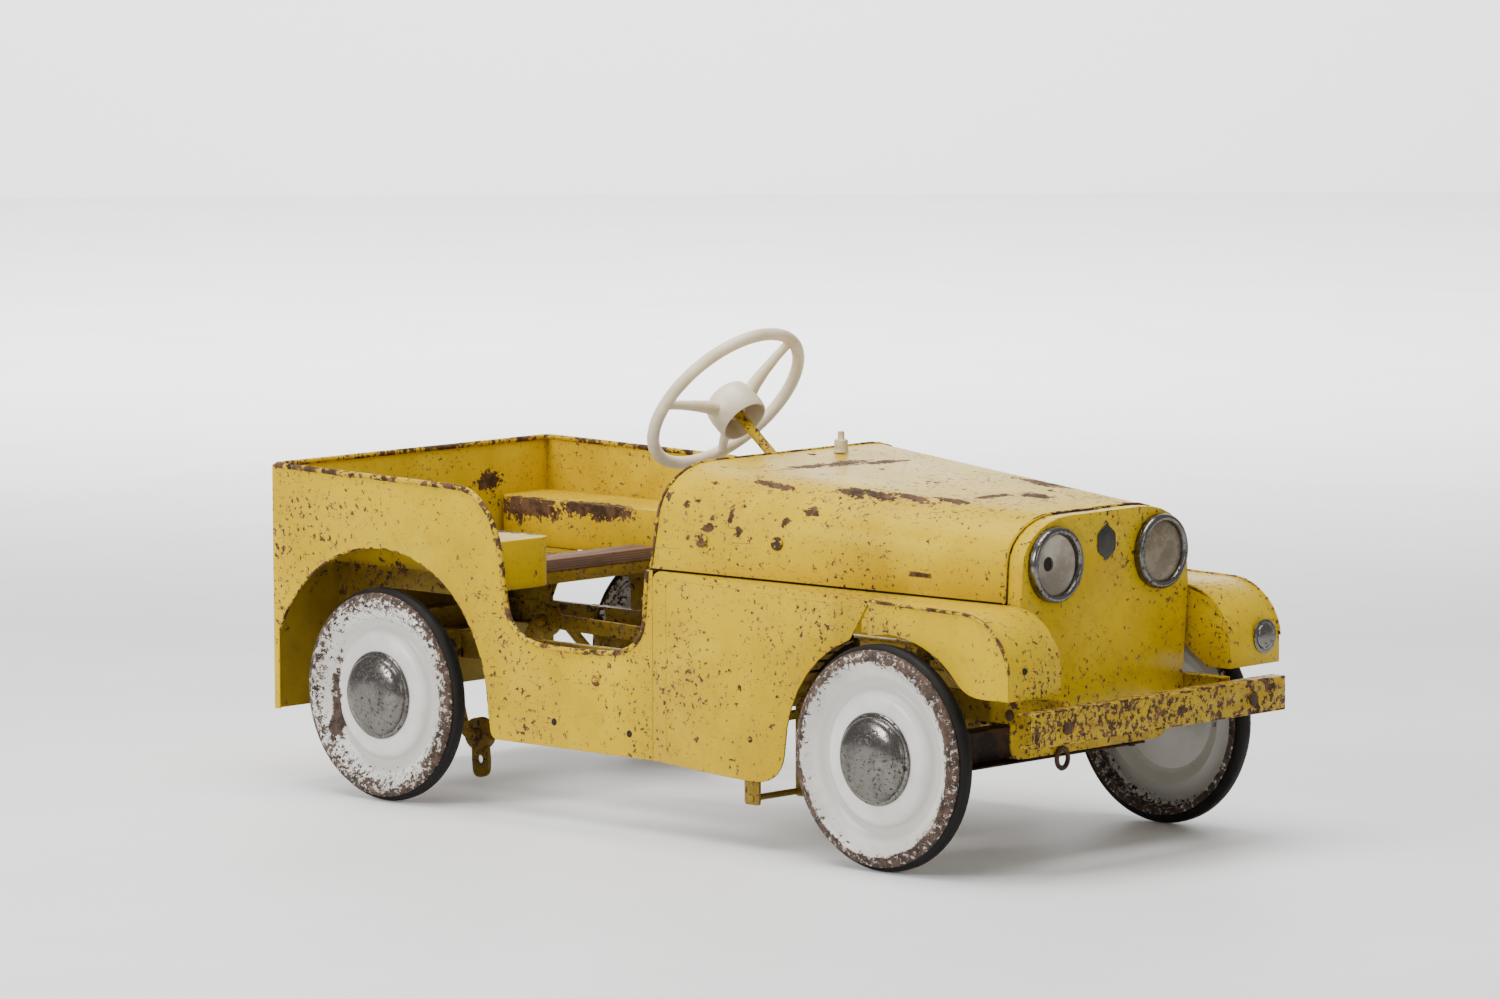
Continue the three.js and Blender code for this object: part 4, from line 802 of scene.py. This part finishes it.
def stretch_of(points, wanted):
    """The longest run of neighbouring points that pass the test, going round the outline."""
    count = len(points)
    start = next((i for i in range(count) if not wanted(points[i - 1]) and wanted(points[i])), 0)
    runs, run = [], []
    for k in range(count + 1):
        p = points[(start + k) % count]
        if wanted(p) and k < count:
            run.append(p)
        else:
            runs.append(run)
            run = []
    return max(runs, key=len)


side_outline = outline_of("tub_side_left_piece")
print("side outline has", len(side_outline), "points")


# %% The rolled rim round the tub and down the cut-away sides
def spaced(points, gap):
    """Drops points that stand closer together than the gap."""
    kept = [points[0]]
    for p in points[1:]:
        if (Vector(p) - Vector(kept[-1])).length > gap:
            kept.append(p)
    return kept


ABOVE_SILL = SILL_Z + 90 * MM
BEHIND_SEAM = SEAM_X - 4 * MM


def on_rear_arch(p):
    return -TYRE_R * 1.55 < p.x - REAR_AXLE.x < 0.1 and p.z < RIM_Z - 62 * MM


edge_points = stretch_of(side_outline,
                         lambda p: p.z > ABOVE_SILL and p.x < BEHIND_SEAM and not on_rear_arch(p))
if edge_points[0].x > edge_points[-1].x:
    edge_points.reverse()
print("rim from", [round(c, 3) for c in edge_points[0]], "to", [round(c, 3) for c in edge_points[-1]])
BEAD_R = 2.7 * MM
bead_y = SIDE_Y - SHEET / 2
BEAD_CORNER = 9 * MM  # radius of the roll at the two rear corners
left_run = spaced([Vector((p.x, bead_y, p.z - 0.4 * MM)) for p in edge_points], 2 * MM)
corner_x = BACK_X + SHEET / 2
rear_round = [Vector((corner_x + BEAD_CORNER * (1 - math.cos(a)), bead_y - BEAD_CORNER * (1 - math.sin(a)),
                      left_run[0].z)) for a in quarter(5)]
left_half = [*rear_round, *[p for p in left_run if p.x > corner_x + BEAD_CORNER]]
right_half = [Vector((p.x, -p.y, p.z)) for p in reversed(left_half)]
rim = wire("rolled_rim", [*right_half, *left_half], BEAD_R, 3)
fixed(rim, ENAMEL_BEAD)

# %% [markdown]
# The wheel arches are turned in by a narrow flange for stiffness. At the front the flange is cut into tabs,
# because a straight strip folds round a tight curve only if it is notched, and the notches show as dark
# slots. Each tab is a small block set square to the arch.

# %% Front arch tabs and rear arch lips
def from_axle(p, axle):
    return Vector((p.x - axle.x, p.z - axle.z)).length


def arch_run(piece_name, axle, reach):
    return stretch_of(outline_of(piece_name), lambda p: from_axle(p, axle) < reach and p.z > axle.z)


def by_x(points):
    return sorted(points, key=lambda p: p.x)


def tabs(name, points, depth, pitch, thick):
    """Blocks along a chain of points, each reaching inwards from the side sheet."""
    pieces, since = [], 0.0
    for here, there in zip(points, points[1:]):
        since += (there - here).length
        if since < pitch:
            continue
        since = 0.0
        along = (there - here).normalized()
        angle = math.atan2(along.z, along.x)
        centre = (here + there) / 2
        clear_selection()
        bpy.ops.mesh.primitive_cube_add(size=1, location=(centre.x, SIDE_Y - SHEET - depth / 2, centre.z),
                                        rotation=(0, -angle, 0), scale=(pitch * 0.80, depth, thick))
        tab = named(name)
        settle(tab)
        pieces.append(tab)
    clear_selection()
    for tab in pieces:
        tab.select_set(True)
    bpy.context.view_layer.objects.active = pieces[0]
    bpy.ops.object.join()
    joined = named(name)
    apply_modifier(joined, "BEVEL", width=0.0003, segments=1)
    return settle(joined)


def finer(points, gap):
    """The same chain with points no further apart than the gap."""
    result = [points[0]]
    for here, there in zip(points, points[1:]):
        count = max(1, math.ceil((there - here).length / gap))
        result += [here.lerp(there, (k + 1) / count) for k in range(count)]
    return result


front_arch = arch_run("front_panel_left_piece", FRONT_AXLE, TYRE_R * 1.30)
wing_arch = arch_run("wing_left_piece", FRONT_AXLE, TYRE_R * 1.24)
for label, run in (("panel", front_arch), ("wing", wing_arch)):
    strip = tabs(f"arch_tabs_{label}_left", finer(by_x(run), 3 * MM), 11 * MM, pitch=12 * MM, thick=0.9 * MM)
    fixed_pair(strip, ENAMEL_FRAME)

rear_arch = stretch_of(side_outline, lambda p: -TYRE_R * 1.7 < p.x - REAR_AXLE.x < TYRE_R * 1.45 and
                       REAR_AXLE.z < p.z < RIM_Z - 60 * MM)
lip_line = [Vector((p.x, bead_y - 0.6 * MM, p.z)) for p in by_x(rear_arch)]
lip = wire("rear_arch_lip_left", spaced(lip_line, 2 * MM), 1.5 * MM)
fixed_pair(lip, ENAMEL_BEAD)
print("arches:", len(front_arch), len(wing_arch), len(rear_arch))

# %% [markdown]
# The bonnet's rear edge and the wings' outer edges are folded back on themselves, which shows as a thin
# raised line where the paint is the first to go. Each line follows points read from its own sheet.

# %% Folded edges on the bonnet and wings
def section_points(piece_name, x):
    """The outer points of a hood at one place along the car, from one lower edge over to the other."""
    mesh = bpy.data.objects[piece_name].data
    by_angle = {}
    centre = Vector((x, 0, LEDGE_Z))
    for p in [v.co.copy() for v in mesh.vertices if abs(v.co.x - x) < 0.8 * MM]:
        key = round(math.degrees(math.atan2(p.z - centre.z, p.y)) / 3.0)
        if key not in by_angle or (p - centre).length > (by_angle[key] - centre).length:
            by_angle[key] = p
    return [by_angle[k] for k in sorted(by_angle)]


cowl_run = section_points("bonnet_piece", COWL_X)
cowl = wire("bonnet_rear_fold", spaced([p + Vector((0.6 * MM, 0, 0)) for p in cowl_run], 3 * MM), 1.5 * MM)
fixed(cowl, ENAMEL_BEAD)

wing_top = stretch_of(outline_of("wing_left_piece"), lambda p: from_axle(p, FRONT_AXLE) > TYRE_R * 1.26
                      and p.z > FRONT_AXLE.z + 62 * MM)
wing_run = sorted(wing_top, key=lambda p: p.x - 0.6 * p.z)  # the front corner falls steeply, so z counts too
wing_line = [Vector((p.x, SIDE_Y - 0.2 * MM, p.z - 0.2 * MM)) for p in wing_run]
fold = wire("wing_fold_left", spaced(wing_line, 2 * MM), 1.7 * MM)
fixed_pair(fold, ENAMEL_BEAD)

front_line = [p - Vector((1.2 * MM, 0, 0.3 * MM)) for p in section_points("bonnet_piece", BONNET_FRONT)]
front_fold = wire("bonnet_front_fold", spaced(front_line, 3 * MM), 1.1 * MM)
fixed(front_fold, ENAMEL_BEAD)


# %% A pressed line on each front panel, the strips that close the seams, and a painted shadow under the bonnet's edge
panel_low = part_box("front_panel_left")[0]
line_x = panel_low.x + 16 * MM
seam_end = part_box("wing_left")[0].x
line_y = SIDE_Y - 0.5 * MM
slope = -9 / (NOSE_X - COWL_X) * MM  # the line falls 9 mm from the cowl to the nose
top_z = LEDGE_Z - 6 * MM
LINE_BEND = 10 * MM  # radius of the line's upper corner
bend_z = top_z - LINE_BEND
pressed = [(line_x, line_y, panel_low.z + 14 * MM), (line_x, line_y, bend_z)]
pressed += [(line_x + LINE_BEND * (1 - math.cos(a)), line_y, bend_z + LINE_BEND * math.sin(a))
            for a in quarter(5)[1:]]
pressed += [(seam_end - 8 * MM, line_y, top_z + slope * (seam_end - COWL_X))]
pressed_line = wire("panel_line_left", pressed, 1.0 * MM)
fixed_pair(pressed_line, ENAMEL_SIDES)

arch_top = FRONT_AXLE.z + TYRE_R + 9 * MM
strap = slab("wing_seam_strap_left", (seam_end - 9 * MM, SIDE_Y - SHEET - 1.5 * MM, arch_top - 2 * MM),
             (seam_end + 8 * MM, SIDE_Y - SHEET - 0.1 * MM, LEDGE_Z - 10 * MM))
fixed_pair(strap, ENAMEL_SIDES)

bonnet_piece = bpy.data.objects["bonnet_piece"]
# a thin dark bar along each lower edge of the bonnet is a painted shadow where the bonnet sits on the panel
lowest = {}
for v in bonnet_piece.data.vertices:
    key = round(v.co.x / (4 * MM))
    if v.co.y > 0.03 and (key not in lowest or v.co.z < lowest[key].z):
        lowest[key] = v.co.copy()
low_run = [lowest[k] for k in sorted(lowest) if lowest[k].z < LEDGE_Z + 8 * MM]
shadow_run = [p + Vector((0, -2.4 * MM, -0.2 * MM)) for p in low_run]
edge_shadow = wire("bonnet_seal_left", finer(shadow_run, 40 * MM), 1.9 * MM)
fixed_pair(edge_shadow, SHADOW)
print("folds made with", len(cowl_run), "and", len(wing_run), "points")

# %% [markdown]
# Rivets and bolts hold the sheets together. One turned dome is enough for all of them; it is turned again
# for each place, with its own radius and its own direction.

# %% Rivets, bolts and holes
def crown(radius, foot, height, count):
    """A domed outline from the rim up to the axis, on a foot."""
    rise = [(radius * math.cos(a), foot + height * math.sin(a)) for a in quarter(count)[:-1]]
    return [*rise, (0, foot + height)]


def square_to(axis):
    return (0, 0, 1) if abs(axis[2]) < 0.5 else (1, 0, 0)


def dome(name, at, axis, radius, height):
    section = [(0, -0.5 * MM), (radius, -0.5 * MM), *crown(radius, 0, height, 6)]
    return turned(name, section, at, axis, square_to(axis), steps=20, closed=False)


def washer(name, at, axis, inner, outer, thick):
    soft = thick * 0.4
    section = [(inner, 0), (outer, 0), (outer, thick - soft), (outer - soft, thick), (inner + soft, thick),
               (inner, thick - soft)]
    return turned(name, section, at, axis, square_to(axis), steps=28)


SIDE_RIVETS = {
    "sill_bolt": (REAR_AXLE.x + 0.269, 0.1355, 5.2, 2.6, ENAMEL_BEAD),
    "sill_rivet_rear": (REAR_AXLE.x + 0.215, 0.093, 3.4, 1.0, SHADOW),
    "sill_rivet_front": (REAR_AXLE.x + 0.311, 0.091, 3.4, 1.0, SHADOW),
    "seam_rivet": (REAR_AXLE.x + 0.330, 0.215, 2.6, 0.9, ENAMEL_BEAD),
    "hanger_rivet": (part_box("pedal_hanger_left")[0].x + 9 * MM, 0.100, 3.0, 1.0, ENAMEL_BEAD),
}
for name, (x, z, r, h, material) in SIDE_RIVETS.items():
    for side, label in SIDES:
        rivet = dome(f"{name}_{label}", (x, side * SIDE_Y, z), (0, side, 0), r * MM, h * MM)
        fixed(rivet, material)

rail_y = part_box("axle_hanger_left")[0].y
FRAME_BOLTS = [(REAR_AXLE.x - 24 * MM, rail_y + 3 * MM, 138 * MM),
               (REAR_AXLE.x + 14 * MM, rail_y + 3 * MM, 141 * MM),
               (FRONT_AXLE.x + 81 * MM, rail_y, 137 * MM)]
for i, (x, y, z) in enumerate(FRAME_BOLTS):
    for side, label in SIDES:
        bolt = dome(f"rail_bolt_{i}_{label}", (x, side * y, z), (0, side, 0), 5 * MM, 3 * MM)
        fixed(bolt, STEEL)
flange_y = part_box("seat_pan")[1].y
for i, x in enumerate((-0.126, -0.119, -0.059, -0.030)):
    for side, label in SIDES:
        place = (REAR_AXLE.x + x, side * (flange_y - SHEET), 0.190 + (i % 2) * 4 * MM)
        bolt = dome(f"seat_bolt_{i}_{label}", place, (0, -side, 0), 3.6 * MM, 2.2 * MM)
        fixed(bolt, STEEL)
print("fixings:", len([n for n in made if "rivet" in n or "bolt" in n]))


# %% Holes on top of the bonnet and grommets on its sides
def on_bonnet(start, towards):
    """Where a straight line first meets the bonnet's outer skin, and how the skin faces there."""
    _, place, normal, _ = bonnet_piece.ray_cast(Vector(start), Vector(towards))
    return place, normal


for i, (x, y, r) in enumerate(((0.359, 0.008, 4.2), (0.4526, 0.0, 3.0), (0.5247, -0.018, 2.6))):
    place, normal = on_bonnet((REAR_AXLE.x + x, y, 1.0), (0, 0, -1))
    hole = dome(f"bonnet_hole_{i}", place + normal * 0.1 * MM, (0, 0, 1), r * MM, 0.35 * MM)
    fixed(hole, SHADOW)
for i, (x, z) in enumerate(((0.388, 0.271), (0.467, 0.273))):
    for side, label in SIDES:
        place, normal = on_bonnet((REAR_AXLE.x + x, side * 0.3, z), (0, -side, 0))
        out = normal.normalized()
        sunk = place - normal * 0.3 * MM
        fixed(washer(f"side_grommet_{i}_{label}", sunk, out, 2.6 * MM, 6.2 * MM, 1.0 * MM), ENAMEL_BEAD)
        fixed(dome(f"side_plug_{i}_{label}", place, out, 3.0 * MM, 0.6 * MM), STEEL)
print("holes and grommets:", len([n for n in made if "hole" in n or "grommet" in n]))

# %% [markdown]
# The headlamps are turned too: a rolled chrome ring, and behind it a glass on one side. The other lamp has
# lost its glass, so its reflector shows as a shallow dish with the bulb's hole in the middle.

# %% Headlamps and side lamp
lamp_low, lamp_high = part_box("headlamp_bezel_left")
LAMP_R = (lamp_high.y - lamp_low.y) / 2
LAMP_Y, LAMP_Z = lamp_low.y + LAMP_R, (lamp_low.z + lamp_high.z) / 2
GLASS_R = LAMP_R - 6 * MM
FORWARD, UP = (1, 0, 0), (0, 0, 1)


def bezel_section():
    roll = arc((LAMP_R - 3.4 * MM, 5.4 * MM), 3.4 * MM, 0, 150, 9)
    return [*beside(LAMP_R, 0, [(-5, 0.4), (0, 0.4)]), *roll,
            *beside(LAMP_R, 0, [(-7, 4.6), (-7.2, 3.2), (-5, 2.6)])]


def glass_section():
    return [(0, 0.6 * MM), (GLASS_R, 0.6 * MM), *crown(GLASS_R, 3.4 * MM, 2.6 * MM, 10)]


def reflector_section():
    bowl = [(GLASS_R * k / 10, -5.6 * MM + 8.6 * MM * (k / 10) ** 2) for k in range(10, 2, -1)]
    under = [(x, s - 1.2 * MM) for x, s in reversed(bowl)]
    return [*bowl, (6.4 * MM, -5.2 * MM), (6.4 * MM, -6.7 * MM), *[u for u in under if u[0] > 6.5 * MM]]


def lamp_piece(name, section, side, node, material, closed=True):
    piece = turned(name, section, (NOSE_X, side * LAMP_Y, LAMP_Z), FORWARD, UP, steps=64, closed=closed)
    fixed(piece, material)
    if node:
        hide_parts(node)


for side, label in SIDES:
    bezel = f"headlamp_bezel_{label}"
    lamp_piece(f"headlamp_ring_{label}", bezel_section(), side, bezel, LAMP_CHROME)
lamp_piece("headlamp_glass_left", glass_section(), 1, "headlamp_lens_left", LENS, False)
lamp_piece("headlamp_reflector_right", reflector_section(), -1, "headlamp_dish_right", DISH)
socket = [(0, -9 * MM), (6.2 * MM, -9 * MM), (6.2 * MM, -6.9 * MM), (0, -6.9 * MM)]
lamp_piece("bulb_socket_right", socket, -1, None, SHADOW, False)

side_lamp = middle("side_lamp_left")
side_low, side_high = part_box("side_lamp_left")
side_r = (side_high.y - side_low.y) / 2
flange = [(0, 0), *beside(side_r, 0, [(0, 0), (0, 1), (-1, 1.6), (-3, 1.6)])]
button_section = [*flange, *crown(side_r - 3.6 * MM, 1.6 * MM, 3.4 * MM, 8)]
button_place = (side_low.x, side_lamp.y, side_lamp.z)
button = turned("side_lamp_button", button_section, button_place, FORWARD, UP, steps=48, closed=False)
fixed(button, LAMP_CHROME)
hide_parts("side_lamp_left")
lost_place = (side_low.x - 0.3 * MM, -side_lamp.y, side_lamp.z)
fixed(dome("side_lamp_hole_right", lost_place, FORWARD, 3.2 * MM, 0.4 * MM), SHADOW)

# %% Worn edges of the bumper
bar_low, bar_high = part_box("bumper")
edge_x = bar_high.x - 1.0 * MM
for label, z in (("top", bar_high.z - 0.9 * MM), ("bottom", bar_low.z + 0.9 * MM)):
    edge_run = [(edge_x, y, z) for y in (bar_low.y + 1 * MM, 0, bar_high.y - 1 * MM)]
    fixed(wire(f"bumper_edge_{label}", edge_run, 1.25 * MM), ENAMEL_BEAD)
print("lamps at", round(LAMP_Y, 4), round(LAMP_Z, 4))

# %% [markdown]
# The steering wheel is one plastic moulding: a round rim, three spokes that taper outwards, and a deep cup
# that hides the nut. It is modelled lying flat about the origin, where the operators are easy to follow,
# and then tilted on to the column with one matrix, so that its place ends up in its mesh.

# %% Steering wheel
column = next(j for j in frame["joints"] if j["name"] == "steering_turn")
hub = Vector(column["pos_m"])
down = -Vector(column["axis"]).normalized()
across = Vector((0, 1, 0))
third = across.cross(down)
tilt = Matrix((across, down, third)).transposed().to_4x4()
tilt.translation = hub
wheel_low, wheel_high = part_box("steering_wheel")
RIM_TUBE = 5.8 * MM
RING_R = (wheel_high.y - wheel_low.y) / 2 - RIM_TUBE


clear_selection()
bpy.ops.mesh.primitive_torus_add(major_radius=RING_R, minor_radius=RIM_TUBE, major_segments=120,
                                 minor_segments=20, rotation=(math.pi / 2, 0, 0))
parts = [settle(named("steering_rim"))]
# each station of a spoke: distance from the axis, height over the rim's plane and radius, in mm
STATIONS = [(20, 12.0, 7.6), (30, 8.4, 6.4), (45, 5.0, 5.2), (62, 2.2, 4.4), (RING_R / MM - 3, 0.6, 4.2)]
for degrees in (180, 60, -60):
    a = math.radians(degrees)
    out = Vector((math.cos(a), 0, math.sin(a)))
    clear_selection()
    r0, s0, w0 = STATIONS[0]
    bpy.ops.mesh.primitive_circle_add(vertices=20, radius=w0 * MM, fill_type="NGON",
                                      location=out * r0 * MM + Vector((0, s0 * MM, 0)),
                                      rotation=out.to_track_quat("Z", "Y").to_euler())
    spoke = named(f"spoke_{degrees}")
    edit_all()
    for (r1, s1, w1), (r2, s2, w2) in zip(STATIONS, STATIONS[1:]):
        step = out * (r2 - r1) * MM + Vector((0, (s2 - s1) * MM, 0))
        bpy.ops.mesh.extrude_region_move(TRANSFORM_OT_translate={"value": step})
        centre = out * r2 * MM + Vector((0, s2 * MM, 0))
        bpy.ops.transform.resize(value=(w2 / w1,) * 3, center_override=centre)
    leave_edit()
    face_outwards(spoke)
    parts.append(settle(spoke))
cup = [(0, -4), (15, -4), (19, -3), (22, -0.5), (23.6, 4), (24.6, 12), (24.6, 22), (23.8, 29), (22.6, 31),
       (21.6, 30.5), (21.4, 22), (20.6, 8), (18.5, 2), (8, 1), (8, 20), (5.6, 20), (5.6, 1), (0, 0.5)]
parts.append(turned("steering_cup", beside(0, 0, cup), (0, 0, 0), steps=56, closed=False))
for label, piece in zip(("rim", "spoke_near", "spoke_far", "spoke_low", "cup"), parts):
    piece.matrix_world = tilt
    settle(piece, 40)
    piece.name = f"steering_{label}"
    keep(piece, "steering", CREAM)
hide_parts("steering_wheel")
print("steering wheel radius", round(RING_R, 4))

# %% [markdown]
# The car stands on a plain pale floor in soft light. A long lens from far away keeps its lines nearly
# parallel. Broad lamps overhead and to one side give the bright tops and the soft shade on the near side.

# %% Floor and backdrop
clear_selection()
bpy.ops.mesh.primitive_plane_add(size=40, location=(0, 0, 0))
floor = settle(named("studio_floor"))
floor_finish = Finish("pale_floor")
cloudy = floor_finish.noise(3, 4, 0.6)
pale = floor_finish.mix(floor_finish.step(cloudy, 0.3, 0.7), (0.80, 0.80, 0.79), (0.84, 0.84, 0.835))
floor.data.materials.append(floor_finish.finish(pale, 0.55))
clear_selection()
away = Vector((-0.684, 0.729, 0))  # the way the camera looks, level
WALL_DISTANCE = 9
wall_turn = math.atan2(away.x, -away.y) + math.pi
bpy.ops.mesh.primitive_plane_add(size=30, location=away * WALL_DISTANCE, rotation=(math.pi / 2, 0, wall_turn))
wall = settle(named("studio_wall"))
wall_finish = Finish("pale_wall")
wall.data.materials.append(wall_finish.finish((0.86, 0.86, 0.86), 0.9))


# %% Soft lights
def soft_light(name, place, aim, size, power):
    bpy.ops.object.light_add(type="AREA", location=place)
    light = bpy.context.active_object
    light.name = name
    light.rotation_euler = (Vector(aim) - Vector(place)).to_track_quat("-Z", "Y").to_euler()
    light.data.size = size
    light.data.energy = power


soft_light("overhead", (0.0, -0.4, 3.0), (0, 0, 0.2), 2.4, 140)
soft_light("near_left", (-1.2, -4.2, 2.2), (0, 0, 0.2), 1.6, 165)
soft_light("near_front", (3.8, -1.2, 1.6), (0.2, 0, 0.2), 1.6, 14)
soft_light("wall_wash", (-3.2, 2.6, 4.2), (-6.2, 6.6, 1.0), 4.0, 1000)
world = bpy.data.worlds.new("studio")
bpy.context.scene.world = world
world.use_nodes = True
sky = world.node_tree.nodes["Background"]
sky.inputs["Color"].default_value = (0.93, 0.94, 0.96, 1)
sky.inputs["Strength"].default_value = 0.50

# %% Camera
CAMERA_PLACE = (4.3815, -4.6639, 0.9754)
YAW, PITCH, ROLL = 2.3278, -0.1068, -0.0040
bpy.ops.object.camera_add(location=CAMERA_PLACE)
camera = bpy.context.active_object
camera.name = "studio_camera"
camera.data.lens = 168
camera.data.sensor_width = 36
camera.data.clip_end = 100
look = Vector((math.cos(PITCH) * math.cos(YAW), math.cos(PITCH) * math.sin(YAW), math.sin(PITCH)))
right = look.cross(Vector((0, 0, 1))).normalized()
upward = right.cross(look)
right_rolled = right * math.cos(ROLL) + upward * math.sin(ROLL)
up_rolled = upward * math.cos(ROLL) - right * math.sin(ROLL)
camera.matrix_world = Matrix((right_rolled, up_rolled, -look)).transposed().to_4x4()
camera.location = CAMERA_PLACE
bpy.context.scene.camera = camera
print("camera", round(camera.location.length, 2), "m from the middle of the car")

# %% The end
bpy.context.view_layer.update()
print("pieces made:", len(made))
